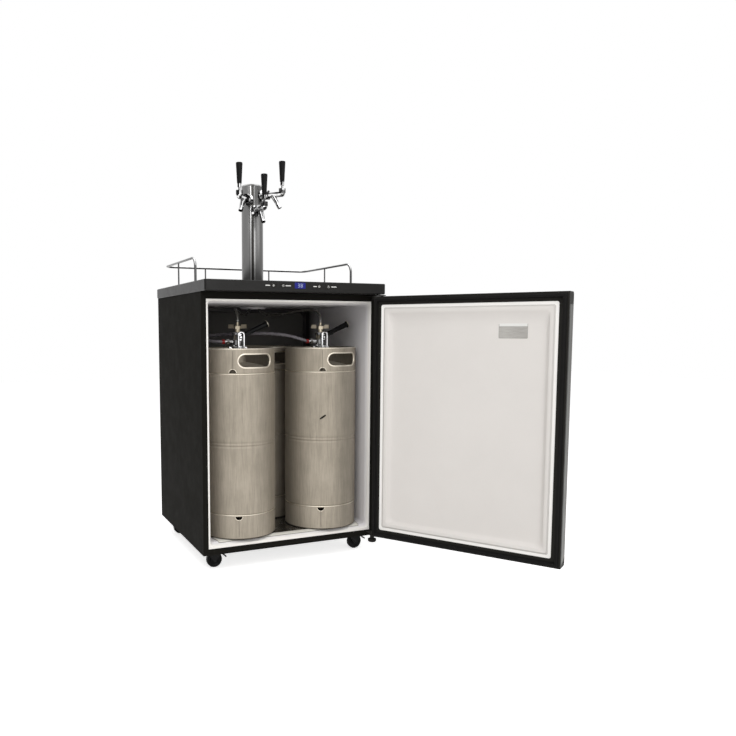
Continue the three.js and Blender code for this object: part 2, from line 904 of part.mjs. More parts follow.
function faucetBody() {
  const elbow = disc(tap.elbowRadius, -tap.elbowRadius, tap.elbowRadius, smallFacets);
  const nipple = disc(tap.nippleRadius, -tap.elbowDrop, 0, smallFacets);
  const collarFoot = tower.radius + clearance;
  const collarHead = collarFoot + tap.collarDepth;
  const nutHead = tap.nutStart + tap.nutDepth;
  const shank = disc(tap.shankRadius, 0, tap.nutStart, smallFacets);
  const collar = turned([
    [0, collarFoot],
    [tap.collarRadius, collarFoot],
    [tap.collarRadius, collarFoot + tap.collarDepth / 3],
    [tap.nutRadius - overrun, collarHead],
    [0, collarHead],
  ]);
  const nut = disc(tap.nutRadius, tap.nutStart, nutHead, smallFacets);
  const neck = disc(tap.barrelRadius, collarHead - overrun, tap.pivotReach, smallFacets);
  const barrelEnd = turned([
    [0, tap.pivotReach - overrun],
    [tap.barrelRadius, tap.pivotReach - overrun],
    [tap.barrelRadius * 0.72, tap.pivotReach + tap.barrelRadius * 0.72],
    [0, tap.pivotReach + tap.barrelRadius],
  ], smallFacets);
  const alongShank = [shank, collar, nut, neck, barrelEnd].map(alongX);
  const bonnetHead = tap.pivotRise + tap.bonnetRise;
  const bonnet = disc(tap.bonnetRadius, bonnetHead - tap.bonnetDepth, bonnetHead).translate(tap.pivotReach, 0, 0);
  const root = point(tap.spoutRoot, 0, 0);
  const tip = point(tap.spoutTip, 0, -tap.spoutDrop);
  const length = root.distanceTo(tip);
  const slant = Math.atan2(tap.spoutTip - tap.spoutRoot, tap.spoutDrop);
  const spout = turned([
    [0, 0],
    [tap.spoutRootRadius, 0],
    [tap.spoutTipRadius, length * 0.72],
    [tap.spoutTipRadius, length],
    [0, length],
  ]);
  const bore = disc(tap.spoutBore, length - tap.spoutBoreDepth, length + overrun, smallFacets);
  const aim = (geometry) => geometry.rotateY(Math.PI - slant).translate(root.x, root.y, root.z);
  const ballFoot = tap.pivotRise - tap.ballRadius - clearance;
  const ballRoom = disc(tap.bonnetBore, ballFoot, bonnetHead + overrun).translate(tap.pivotReach, 0, 0);
  const reach = (geometry) => geometry.translate(tap.elbowReach, 0, 0);
  const whole = join(reach(elbow), reach(nipple), ...alongShank, bonnet, aim(spout));
  const behindElbow = block(
    [-tap.barrelRadius, tap.elbowReach],
    [-tower.radius, tower.radius],
    [-tap.shankRadius - overrun, tap.shankRadius + overrun],
  );
  const keepElbow = disc(tap.elbowRadius, -tap.elbowRadius, tap.elbowRadius, smallFacets);
  return cut(whole, ballRoom, aim(bore), cut(behindElbow, reach(keepElbow)));
}

// The lever is drawn about its pivot.
function tapLever() {
  const ball = turned([
    [0, -tap.ballRadius],
    [tap.ballRadius * Math.SQRT1_2, -tap.ballRadius * Math.SQRT1_2],
    [tap.ballRadius, 0],
    [tap.ballFlat, tap.ballRadius - tap.ballFlat / 2],
    [0, tap.ballFlat],
  ], smallFacets);
  const stem = disc(tap.stemRadius, 0, tap.ferruleEnd - clearance, smallFacets);
  const ferrule = turned([
    [0, tap.ferruleStart],
    [tap.stemRadius, tap.ferruleStart],
    [tap.ferruleRadius, tap.ferruleStart + overrun],
    [tap.ferruleRadius, tap.ferruleEnd - clearance],
    [0, tap.ferruleEnd - clearance],
  ], smallFacets);
  return join(ball, stem, ferrule);
}

function tapHandleForm() {
  const { length, bottomRadius, topRadius, edge } = tapHandle;
  const foot = tap.ferruleEnd;
  return turned([
    [0, foot],
    [bottomRadius, foot],
    [topRadius, foot + length - edge],
    [topRadius - edge, foot + length],
    [0, foot + length],
  ], turnedFacets);
}

for (const [name, { turn, z }] of Object.entries(tapPlaces)) {
  const group = groupAt(0, 0, z, towerGroup);
  group.rotation.z = THREE.MathUtils.degToRad(turn - 90);
  add(`faucet_${name}`, faucetBody(), "chrome", group);
  const pivot = groupAt(tap.pivotReach, 0, tap.pivotRise, group);
  add(`tap_lever_${name}`, tapLever(), "chrome", pivot);
  add(`tap_handle_${name}`, tapHandleForm(), "blackPlastic", pivot);
}

// Kegs, drawn about their own axis with the foot at z = 0

const kegSeamHigh = keg.height - keg.collar;

function kegVessel() {
  const { radius, wall, shoulder, domeRise, neckRadius, neckBore, ribRise, ribHeight, ribDepth, seam } = keg;
  const low = keg.chime;
  const high = kegSeamHigh;
  const neck = keg.height - keg.neckBelowRim;
  const edge = radius - seam;
  const inside = radius - wall;
  const outer = [
    [0, low - domeRise],
    [shoulder, low - domeRise],
    [edge - shoulder, low - domeRise / 2],
    [edge, low],
    [radius, low + seam],
    [radius, ribRise - ribHeight],
    [radius - ribDepth, ribRise],
    [radius, ribRise + ribHeight],
    [radius, high - seam],
    [edge, high],
    [edge - shoulder, high + domeRise * 0.7],
    [neckRadius + shoulder / 2, high + domeRise],
    [neckRadius, high + domeRise + wall],
    [neckRadius, neck - overrun],
    [neckRadius - overrun, neck],
    [neckBore, neck],
  ];
  const inner = [
    [neckBore, high + domeRise - wall],
    [edge - shoulder - wall, high + domeRise * 0.7 - wall],
    [inside, high - 2 * seam],
    [inside, low + 2 * seam],
    [edge - shoulder - wall, low - domeRise / 2 + wall],
    [0, low - domeRise / 2 + wall],
  ];
  return turned([...outer, ...inner], kegFacets);
}

// A rolled ring: the collar stands on the vessel, and the chime hangs under it the other way up.
function kegRing(height) {
  const { radius, wall, rimBead, seam } = keg;
  const outside = radius - seam / 3;
  const inside = outside - wall;
  const foot = radius - seam * 1.2;
  return turnedRing(
    [
      [foot - wall, -seam],
      [foot, -seam],
      [foot, 0],
      [outside, seam],
      [outside, height - rimBead * 2],
      [radius, height - rimBead],
      [radius - rimBead / 2, height],
      [radius - 2 * rimBead, height],
      [inside, height - rimBead * 2],
      [inside, 2 * seam],
    ],
    kegFacets,
  );
}

function handHole() {
  const low = keg.height - keg.gripBelowRim - keg.gripHeight;
  const half = (keg.radius * Math.sin(keg.gripWidth / 2 / keg.radius));
  const slot = roundedOutline([-half, half], [low, low + keg.gripHeight], keg.gripHeight / 2);
  const reach = keg.radius + overrun;
  const depth = reach - keg.radius / 2;
  const geometry = new THREE.ExtrudeGeometry(slot, { depth, bevelEnabled: false, curveSegments: cornerSteps });
  return geometry.rotateX(Math.PI / 2).translate(0, -keg.radius / 2, 0);
}

function drainNotch(z, upward) {
  const reach = keg.radius + overrun;
  const cutter = disc(keg.notchRadius, keg.radius / 2, reach, smallFacets);
  const half = block(
    [-keg.radius, keg.radius],
    [-reach, 0],
    upward ? [z - keg.notchRadius, z] : [z, z + keg.notchRadius],
  );
  const round = cutter.rotateX(Math.PI / 2).translate(0, 0, z);
  return cut(round, half);
}

function kegForm(turn) {
  const collar = kegRing(keg.collar).translate(0, 0, kegSeamHigh);
  const chime = kegRing(keg.chime).rotateX(Math.PI).translate(0, 0, keg.chime);
  const facing = turn + 90;
  const holes = [0, 180].map((side) => turnedAbout(handHole(), facing + side));
  const notchTurn = facing - keg.notchTurn;
  const notches = [
    drainNotch(kegSeamHigh + keg.seam, true),
    drainNotch(keg.chime - keg.seam, false),
  ].map((notch) => turnedAbout(notch, notchTurn));
  const rings = [
    cut(collar, ...holes, notches[0]),
    cut(chime, notches[1]),
  ];
  return join(kegVessel(), ...rings);
}

for (const [name, { x, y, turn }] of Object.entries(kegPlaces)) {
  add(`keg_${name}`, kegForm(turn), "brushedSteel", groupAt(x, y, kegFoot));
}

// Keg couplers, drawn about the keg's axis with z = 0 at the top of its neck

function couplerBody() {
  const { baseRadius, baseHeight, bodyRadius, bodyHead, bore, ringRadius, ringFoot, ringHead } = coupler;
  const base = turnedRing([
    [bore, clearance],
    [baseRadius, clearance],
    [baseRadius, baseHeight - overrun],
    [bodyRadius, baseHeight + overrun],
    [bodyRadius, bodyHead],
    [bore, bodyHead],
  ]);
  const ring = turnedRing([
    [bore, ringFoot],
    [ringRadius, ringFoot],
    [ringRadius, ringHead - overrun],
    [ringRadius - overrun, ringHead],
    [bore, ringHead],
  ]);
  const lugs = [-1, 1].map((side) => block(
    [side > 0 ? bodyRadius : -coupler.lugReach, side > 0 ? coupler.lugReach : -bodyRadius],
    [-coupler.lugWidth / 2, coupler.lugWidth / 2],
    [clearance, coupler.lugHeight],
  ));
  const cheeks = [-1, 1].map((side) => {
    const near = side * coupler.cheekInner;
    const far = side * coupler.cheekOuter;
    const across = [Math.min(near, far), Math.max(near, far)];
    return block([-coupler.cheekHalf, coupler.cheekHalf], across, [bodyHead - overrun, coupler.cheekHead]);
  });
  const pins = [-1, 1].map((side) => {
    const reach = [coupler.cheekOuter - overrun, coupler.pinReach];
    const [from, to] = side > 0 ? reach : reach.map((d) => -d).reverse();
    return alongY(disc(coupler.pinRadius, from, to, smallFacets)).translate(coupler.pivotX, 0, coupler.pivotZ);
  });
  const inlet = alongX(join(
    disc(coupler.inletRadius, -coupler.inletReach, -coupler.bore - overrun / 2, smallFacets),
    disc(coupler.inletNutRadius, -coupler.inletReach - coupler.inletNutDepth, -coupler.inletReach, 6),
    disc(coupler.nippleRadius, -coupler.nippleReach, -coupler.inletReach, smallFacets),
  )).translate(0, 0, coupler.inletZ);
  return join(base, ring, ...lugs, ...cheeks, ...pins, inlet);
}

function couplerProbe() {
  const { probeRadius, probeFoot, probeHead, threadRadius, wingFoot, wingHead, hubRadius } = coupler;
  const stem = turned([
    [0, probeFoot],
    [probeRadius - overrun, probeFoot],
    [probeRadius, probeFoot + overrun],
    [probeRadius, probeHead],
    [threadRadius, probeHead + overrun],
    [threadRadius, wingFoot],
    [0, wingFoot],
  ], smallFacets);
  const hub = disc(hubRadius, wingFoot, wingHead, 6);
  const wings = block(
    [-coupler.wingReach, coupler.wingReach],
    [-coupler.wingHalf, coupler.wingHalf],
    [wingFoot + coupler.wingRise / 2, wingHead + coupler.wingRise],
  );
  const dip = block(
    [-hubRadius - overrun, hubRadius + overrun],
    [-hubRadius, hubRadius],
    [wingHead, wingHead + coupler.wingRise + overrun],
  );
  const tail = turned([
    [0, wingHead - overrun],
    [threadRadius - overrun, wingHead - overrun],
    [threadRadius - overrun, wingHead + overrun],
    [coupler.tailRadius, wingHead + 2 * overrun],
    [coupler.tailRadius, coupler.tailHead],
    [0, coupler.tailHead],
  ], smallFacets);
  return join(stem, turnedAbout(join(hub, cut(wings, dip)), coupler.wingTurn), tail);
}

// Drawn about the pivot, with the grip along +X.
function couplerLever() {
  const { armInner, armOuter, armBack, armHalf, barStart, barEnd, gripEnd, tipLength } = lever;
  const arms = [-1, 1].map((side) => {
    const across = side > 0 ? [armInner, armOuter] : [-armOuter, -armInner];
    return block([-armBack, barEnd], across, [-armHalf, armHalf]);
  });
  const bar = block([barStart, barEnd], [-armOuter, armOuter], [-armHalf, armHalf]);
  const grip = alongX(turned([
    [0, barEnd - overrun],
    [lever.gripRootRadius, barEnd - overrun],
    [lever.gripMidRadius, gripEnd - tipLength],
    [lever.gripTipRadius, gripEnd - tipLength / 2],
    [lever.gripTipRadius, gripEnd - overrun / 2],
    [lever.gripTipRadius - overrun, gripEnd],
    [0, gripEnd],
  ]));
  const radius = coupler.pinRadius + clearance;
  const bore = alongY(disc(radius, -armOuter - overrun, armOuter + overrun, smallFacets));
  return cut(join(...arms, bar, grip), bore);
}

for (const name of ["left", "right"]) {
  const { x, y } = kegPlaces[name];
  const group = groupAt(x, y, neckTop);
  add(`coupler_body_${name}`, couplerBody(), "chrome", group);
  add(`coupler_probe_${name}`, couplerProbe(), "chrome", group);
  const pivot = groupAt(coupler.pivotX, 0, coupler.pivotZ, group);
  pivot.rotation.y = -THREE.MathUtils.degToRad(lever.lift);
  add(`coupler_lever_${name}`, couplerLever(), "blackPlastic", pivot);
}

// Hoses, along routes chosen by hand; both ends run straight out of what they meet

const elbowPlace = (name) => {
  const angle = THREE.MathUtils.degToRad(tapPlaces[name].turn - 90);
  const x = tap.elbowReach * Math.cos(angle);
  const y = tower.y + tap.elbowReach * Math.sin(angle);
  return point(x, y, tapPlaces[name].z - tap.elbowDrop - clearance);
};

function smooth(points, steps) {
  return new THREE.CatmullRomCurve3(points, false, "centripetal").getSpacedPoints(steps);
}

const beerLineRoutes = {
  left: [
    [-146, 110, 790],
    [-146, 113, 803],
    [-145, 127, 818],
    [-140, 150, 824],
    [-124, 190, 824],
    [-98, 240, 818],
    [-70, 285, 811],
    [-44, 318, 810],
    [-25, 337, 820],
    [-15, 347, 840],
    [-12, 349, 870],
    [-13, 346, 930],
  ],
  right: [
    [150, 110, 790],
    [150, 113, 803],
    [148, 127, 818],
    [142, 150, 824],
    [124, 190, 824],
    [98, 240, 818],
    [70, 285, 811],
    [44, 318, 810],
    [25, 337, 820],
    [15, 347, 840],
    [12, 349, 870],
    [13, 346, 930],
  ],
};

const gasHoseRoutes = {
  left: [
    [-198, 110.5, 718.5],
    [-210, 114, 719],
    [-223, 124, 720],
    [-232, 141, 721],
    [-236, 165, 723],
    [-238, 220, 728],
    [-243, 290, 732],
    [-251, 345, 734],
    [-257, 385, 734],
  ],
  right: [
    [98, 110.5, 720],
    [82, 114, 725],
    [62, 124, 732],
    [36, 141, 739],
    [4, 162, 743],
    [-34, 188, 745],
    [-80, 220, 744],
    [-130, 256, 742],
    [-175, 296, 738],
    [-208, 338, 735],
    [-226, 378, 734],
  ],
};

const couplerOutlet = (name) => {
  const { x, y } = kegPlaces[name];
  return point(x, y, neckTop + coupler.tailHead + clearance);
};

const couplerInlet = (name) => {
  const { x, y } = kegPlaces[name];
  return point(x - coupler.nippleReach - clearance, y, neckTop + coupler.inletZ);
};

const manifoldBack = manifold.front + manifold.depth;
const manifoldLeft = -insideHalf + clearance;
const portX = (number) => manifoldLeft + manifold.firstPort + number * manifold.portPitch;
const portZ = manifold.foot + manifold.height / 2;
const manifoldPort = (number) => point(portX(number), manifold.front - manifold.portReach - clearance, portZ);

const listed = (route) => route.map(([x, y, z]) => point(x, y, z));

function beerLineForm(name) {
  const end = elbowPlace(name);
  const below = point(end.x, end.y, end.z - 4 * beerLine.radius);
  const lower = listed(beerLineRoutes[name]);
  const start = couplerOutlet(name);
  const first = point(start.x, start.y, start.z + 2 * clearance);
  const curve = smooth([first, ...lower, below], beerLineSteps);
  return tube([start, ...curve, end], beerLine.radius, hoseFacets);
}

function gasHoseForm(name, number) {
  const start = couplerInlet(name);
  const end = manifoldPort(number);
  const straight = 2 * clearance;
  const first = point(start.x - straight, start.y, start.z);
  const last = point(end.x, end.y - straight, end.z);
  const curve = smooth([first, ...listed(gasHoseRoutes[name]), last], hoseSteps);
  return tube([start, ...curve, end], gasHose.radius, hoseFacets);
}

function gasManifold() {
  const { width, foot, height, front, portReach, portRadius } = manifold;
  const body = block([manifoldLeft, manifoldLeft + width], [front, manifoldBack], [foot, foot + height]);
  const ports = [0, 1].map((number) => {
    const nipple = disc(portRadius, -portReach, overrun, smallFacets);
    const nut = disc(portRadius * 1.9, -portReach / 3, overrun, 6);
    return alongY(join(nipple, nut)).translate(portX(number), front, portZ);
  });
  return join(body, ...ports);
}

add("beer_line_left", beerLineForm("left"), "clearHose");
add("beer_line_right", beerLineForm("right"), "clearHose");
add("gas_hose_left", gasHoseForm("left", 0), "greyHose");
add("gas_hose_right", gasHoseForm("right", 1), "greyHose");
add("gas_manifold", gasManifold(), "brushedSteel");

// Compressor in the bay

function compressorForm() {
  const { radius, foot, head, edge, plate, plateLength, plateWidth, mountRadius, mountInset } = compressor;
  const can = turned([
    [0, foot],
    [radius - edge / 2, foot],
    [radius, foot + edge / 2],
    [radius, head - edge],
    [radius - edge * 0.3, head - edge * 0.3],
    [radius - edge, head],
    [0, head],
  ]);
  const seam = disc(radius + plate, foot + edge * 2, foot + edge * 2 + plate);
  const base = block(
    [-plateLength / 2, plateLength / 2],
    [-plateWidth / 2, plateWidth / 2],
    [foot - plate, foot + plate],
  );
  const floor = cabinet.underside + cabinet.sheet + clearance;
  const mounts = [-1, 1].flatMap((i) => [-1, 1].map((j) => {
    const x = i * (plateLength / 2 - mountInset);
    const y = j * (plateWidth / 2 - mountInset);
    return disc(mountRadius, floor, foot, smallFacets).translate(x, y, 0);
  }));
  const box = block(
    [radius - plate, radius + compressor.boxDepth],
    [-compressor.boxWidth / 2, compressor.boxWidth / 2],
    [foot + compressor.boxRise, foot + compressor.boxRise + compressor.boxHeight],
  );
  return join(can, seam, base, box, ...mounts);
}

const bayMiddle = (bay.front + cabinet.sheet + cabinet.depth) / 2;
add("compressor", compressorForm(), "blackPaint", groupAt(compressor.x, bayMiddle, 0));

// Hinges

const hingeX = halfWidth - door.hingeInset;
const hingeY = -door.inner - door.thickness + door.hingeFromFace;

function hingeBracket(plateZ, tab) {
  const outer = halfWidth - 1.5 * clearance;
  const plate = block(
    [outer - hinge.plateWidth, outer],
    [-hinge.plateFront, -clearance],
    [plateZ, plateZ + hinge.plate],
  );
  const flange = block([outer - hinge.tabWidth, outer], [-hinge.plate, -clearance], tab);
  return join(plate, flange);
}

function hingePin(z0, z1) {
  return disc(hinge.pinRadius, z0, z1, smallFacets).translate(hingeX, hingeY, 0);
}

function topHinge() {
  const foot = hinge.topPlateZ;
  const tab = [foot - hinge.tabHeight, foot + hinge.plate];
  const pin = hingePin(door.top - hinge.pinDepth, foot + hinge.plate / 2);
  return join(hingeBracket(foot, tab), pin);
}

function lowerHinge() {
  const foot = hinge.lowPlateZ;
  const tab = [cabinet.underside, foot + hinge.plate];
  const pin = hingePin(foot + hinge.plate / 2, door.bottom + hinge.pinDepth);
  const { footRadius, footHeight, footEdge } = hinge;
  const levelling = turned([
    [0, foot - footHeight],
    [footRadius - footEdge, foot - footHeight],
    [footRadius, foot - footHeight + footEdge],
    [footRadius, foot - footHeight / 2],
    [footRadius / 2, foot - footHeight / 2],
    [footRadius / 2, foot + hinge.plate / 2],
    [0, foot + hinge.plate / 2],
  ]).translate(halfWidth - hinge.footInset, hinge.footY, 0);
  return join(hingeBracket(foot, tab), pin, levelling);
}

add("top_hinge", topHinge(), "blackPaint");
add("lower_hinge", lowerHinge(), "blackPaint");

// Door, drawn shut and turned open about its hinge

const doorFace = -door.inner - door.thickness;
const doorInner = -door.inner;
const doorHalf = door.width / 2;
const capFoot = door.top - door.topCap;
const lowCapHead = door.bottom + door.bottomCap;
const panelHalf = doorHalf - door.border;
const panelHeight = [door.bottom + door.border, door.top - door.border];
const skinEdge = doorFace + door.skinReturn;

function inset([low, high], amount) {
  return [low + amount, high - amount];
}

function panelSection(amount, radius, y) {
  const across = inset([-panelHalf, panelHalf], amount);
  return section(across, inset(panelHeight, amount), radius, y);
}

function doorLinerForm() {
  const { wall, flange, ridge, ridgeSlope, ridgeTop, dishSlope, dish, corner, dishCorner } = doorLiner;
  const ridgeFoot = flange;
  const ridgeHead = flange + ridgeSlope;
  const ridgeEnd = ridgeHead + ridgeTop;
  const dishEdge = ridgeEnd + dishSlope;
  const front = [
    panelSection(0, corner, doorInner),
    panelSection(ridgeFoot, corner, doorInner),
    panelSection(ridgeHead, corner, doorInner + ridge),
    panelSection(ridgeEnd, corner + ridgeSlope, doorInner + ridge),
    panelSection(dishEdge - dishSlope / 2, dishCorner, doorInner - dish / 2),
    panelSection(dishEdge, dishCorner, doorInner - dish),
  ];
  const back = [
    panelSection(0, corner, doorInner - wall),
    panelSection(ridgeEnd - wall, corner + ridgeSlope, doorInner - wall),
    panelSection(dishEdge - wall, dishCorner + wall, doorInner - dish - wall),
  ];
  return loft([...back.reverse(), ...front]);
}

function pinHole(z0, z1) {
  return disc(hinge.pinRadius + clearance, z0, z1, smallFacets).translate(hingeX, hingeY, 0);
}

function doorCore() {
  const foot = door.bottom + clearance;
  const height = [foot, capFoot - clearance];
  const behindSkin = doorHalf - door.skin - clearance;
  const core = block([-behindSkin, behindSkin], [doorFace + door.skin + clearance, doorInner], height);
  const border = block([-doorHalf, doorHalf], [skinEdge + clearance, doorInner], height);
  const gap = doorLiner.wall + clearance;
  const seat = loft([
    panelSection(-clearance, doorLiner.corner, doorInner - gap),
    panelSection(-clearance, doorLiner.corner, doorInner + overrun),
  ]);
  const dishEdge = doorLiner.flange + doorLiner.ridgeSlope + doorLiner.ridgeTop;
  const room = dishEdge - gap - clearance;
  const low = doorInner - doorLiner.dish - gap;
  const dish = loft([
    panelSection(dishEdge + doorLiner.dishSlope - gap - overrun, doorLiner.dishCorner, low),
    panelSection(room, doorLiner.corner, doorInner - gap),
    panelSection(room, doorLiner.corner, doorInner),
  ]);
  const pinRoom = pinHole(foot, door.bottom + hinge.pinDepth + overrun);
  return cut(join(core, border), seat, dish, lowCapRoom(), pinRoom);
}

// The lower cap rises from its inner edge to the outer face, so the skin ends on a slant.
function lowCapOutline(grow, past) {
  const rise = (door.bottomCap - door.bottomCapInner) / door.skinReturn;
  return [
    [doorFace - past, door.bottom - past],
    [skinEdge + grow, door.bottom - past],
    [skinEdge + grow, door.bottom + door.bottomCapInner + grow],
    [doorFace - past, lowCapHead + grow + rise * past],
  ];
}

function lowCapRoom() {
  const outline = lowCapOutline(clearance, overrun);
  return profileAlongX(outline, -doorHalf - overrun, doorHalf + overrun);
}

function bottomCap() {
  const cap = profileAlongX(lowCapOutline(0, 0), -doorHalf, doorHalf);
  const { capCorner } = door;
  const corner = [
    [doorFace - overrun, door.bottom - overrun],
    [doorFace + capCorner, door.bottom - overrun],
    [doorFace + capCorner, door.bottom],
    [doorFace + capCorner * 0.3, door.bottom + capCorner * 0.3],
    [doorFace, door.bottom + capCorner],
    [doorFace - overrun, door.bottom + capCorner],
  ];
  const corners = profileAlongX(corner, -doorHalf - overrun, doorHalf + overrun);
  return cut(cap, corners, pinHole(door.bottom - overrun, lowCapHead + overrun));
}

function doorSkin() {
  const height = [door.bottom + clearance, capFoot - clearance];
  const outer = block([-doorHalf, doorHalf], [doorFace, skinEdge], height);
  const inside = doorHalf - door.skin;
  const hollow = block(
    [-inside, inside],
    [doorFace + door.skin, skinEdge + overrun],
    [door.bottom - overrun, capFoot + overrun],
  );
  return cut(outer, hollow, lowCapRoom());
}

function topCap() {
  const cap = block([-doorHalf, doorHalf], [doorFace, doorInner], [capFoot, door.top]);
  const { capCorner } = door;
  const corner = [
    [doorFace - overrun, door.top - capCorner],
    [doorFace, door.top - capCorner],
    [doorFace + capCorner * 0.3, door.top - capCorner * 0.3],
    [doorFace + capCorner, door.top],
    [doorFace + capCorner, door.top + overrun],
    [doorFace - overrun, door.top + overrun],
  ];
  const round = profileAlongX(corner, -doorHalf - overrun, doorHalf + overrun);
  const gap = doorLiner.wall + clearance;
  const dishEdge = doorLiner.flange + doorLiner.ridgeSlope + doorLiner.ridgeTop;
  const panelRoom = loft([
    panelSection(-clearance, doorLiner.corner, doorInner - gap),
    panelSection(-clearance, doorLiner.corner, doorInner + overrun),
  ]);
  const shelf = doorInner - doorLiner.dish - gap;
  const dishRoom = block(
    inset([-panelHalf, panelHalf], dishEdge - gap),
    [shelf, doorInner],
    [capFoot - overrun, panelHeight[1] - dishEdge + gap + overrun],
  );
  const pin = pinHole(door.top - hinge.pinDepth - overrun, door.top + overrun);
  return cut(cap, round, panelRoom, dishRoom, pin);
}

// A magnetic gasket: a wide base with a narrower magnet strip standing on it.
function frameRing([x0, x1], [z0, z1], width, y0, y1) {
  const outer = block([x0, x1], [y0, y1], [z0, z1]);
  const hole = block([x0 + width, x1 - width], [y0 - overrun, y1 + overrun], [z0 + width, z1 - width]);
  return cut(outer, hole);
}

function doorGasket() {
  const across = inset([-doorHalf, doorHalf], gasket.inset);
  const up = inset([door.bottom, door.top], gasket.inset);
  const foot = doorInner + clearance;
  const shelf = foot + gasket.baseHeight;
  const base = frameRing(across, up, gasket.width, foot, shelf);
  const magnet = frameRing(
    inset(across, gasket.magnetInset),
    inset(up, gasket.magnetInset),
    gasket.magnetWidth,
    shelf - overrun,
    shelf + gasket.magnetHeight,
  );
  return join(base, magnet);
}

const doorHinge = groupAt(hingeX, hingeY, 0);
doorHinge.rotation.z = THREE.MathUtils.degToRad(door.openAngle);
const doorGroup = groupAt(-hingeX, -hingeY, 0, doorHinge);
add("door_skin", doorSkin(), "brushedSteel", doorGroup);
add("door_core", doorCore(), "blackPlastic", doorGroup);
add("door_liner", doorLinerForm(), "whitePlastic", doorGroup);
add("door_gasket", doorGasket(), "rubber", doorGroup);
add("door_top_cap", topCap(), "blackPlastic", doorGroup);
add("door_bottom_cap", bottomCap(), "blackPlastic", doorGroup);

// Casters, drawn about the stem with the wheel trailing towards +X

const legInner = caster.wheelWidth / 2 + caster.legGap;
const legOuter = legInner + caster.legThickness;

function casterFork() {
  const { crownFoot, crownHead, crownBack, crownFront, trail, wheelRadius, axleBoss } = caster;
  const crown = block([-crownBack, crownFront], [-legOuter, legOuter], [crownFoot, crownHead]);
  const outline = [
    [-crownBack, crownHead],
    [crownFront, crownHead],
    [crownFront, caster.earFoot],
    [trail + axleBoss, wheelRadius],
    [trail + axleBoss / 2, wheelRadius - axleBoss],
    [trail - axleBoss / 2, wheelRadius - axleBoss],
    [trail - axleBoss, wheelRadius],
    [-crownBack, crownFoot - axleBoss],
  ];
  const legs = [profileAlongY(outline, legInner, legOuter), profileAlongY(outline, -legOuter, -legInner)];
  const axle = alongY(disc(caster.axleRadius, -legOuter, legOuter, smallFacets));
  const pin = alongY(disc(caster.pedalPin, -legOuter, legOuter, 8));
  const head = cabinet.underside - clearance;
  const race = turned([
    [0, crownHead - overrun],
    [caster.raceRadius, crownHead - overrun],
    [caster.raceRadius - overrun, head],
    [caster.stemRadius, head],
    [caster.stemRadius, head + caster.stemHeight],
    [0, head + caster.stemHeight],
  ]);
  return join(
    crown,
    ...legs,
    axle.translate(trail, 0, wheelRadius),
    pin.translate(caster.pedalX, 0, caster.pedalZ),
    race,
  );
}

// Drawn about the axle, which lies along Y.
function casterWheel() {
  const { wheelRadius, wheelWidth, hubRadius, hubRecess } = caster;
  const bore = caster.axleRadius + caster.boreGap;
  const half = wheelWidth / 2;
  const tread = half / 3;
  const rim = wheelRadius * 0.8;
  return alongY(turnedRing(
    [
      [bore, -half],
      [hubRadius * 0.6, -half],
      [hubRadius, hubRecess - half],
      [rim, -half],
      [wheelRadius - tread, -half],
      [wheelRadius, -half + tread],
      [wheelRadius, half - tread],
      [wheelRadius - tread, half],
      [rim, half],
      [hubRadius, half - hubRecess],
      [hubRadius * 0.6, half],
      [bore, half],
    ],
    wheelFacets,
  ));
}

// Drawn about the pedal's pin.
function brakePedal() {
  const dx = caster.pedalTipX - caster.pedalX;
  const dz = caster.pedalTipZ - caster.pedalZ;
  const length = Math.hypot(dx, dz);
  const half = legInner - 2 * clearance;
  const thick = caster.pedalThickness / 2;
  const plate = block([0, length], [-half, half], [-thick, thick]);
  const tip = alongY(disc(thick * 1.4, -half, half, smallFacets)).translate(length, 0, 0);
  const barrel = alongY(disc(caster.pedalBarrel, -half, half, smallFacets));
  const bore = alongY(disc(caster.pedalPin + clearance, -half - overrun, half + overrun, 8));
  return cut(join(plate, barrel, tip), bore).rotateY(-Math.atan2(dz, dx));
}

for (const [name, { x, y }] of Object.entries(casterPlaces)) {
  const group = groupAt(x, y, 0);
  add(`caster_fork_${name}`, casterFork(), "zinc", group);
  add(`caster_wheel_${name}`, casterWheel(), "rubber", groupAt(caster.trail, 0, caster.wheelRadius, group));
  if (name.startsWith("front")) {
    const pedal = groupAt(caster.pedalX, 0, caster.pedalZ, group);
    add(`brake_pedal_${name}`, brakePedal(), "blackPlastic", pedal);
  }
}

// The origin is on the floor, under the middle of the whole object's box

kegCooler.updateMatrixWorld(true);
const bounds = new THREE.Box3().setFromObject(kegCooler, true);
const middle = bounds.getCenter(new THREE.Vector3());
stand.position.set(-middle.x, -middle.y, -bounds.min.z);

export default kegCooler;
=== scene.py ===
from math import cos, pi, radians, sin, sqrt

import bmesh
import bpy
from mathutils import Matrix, Vector


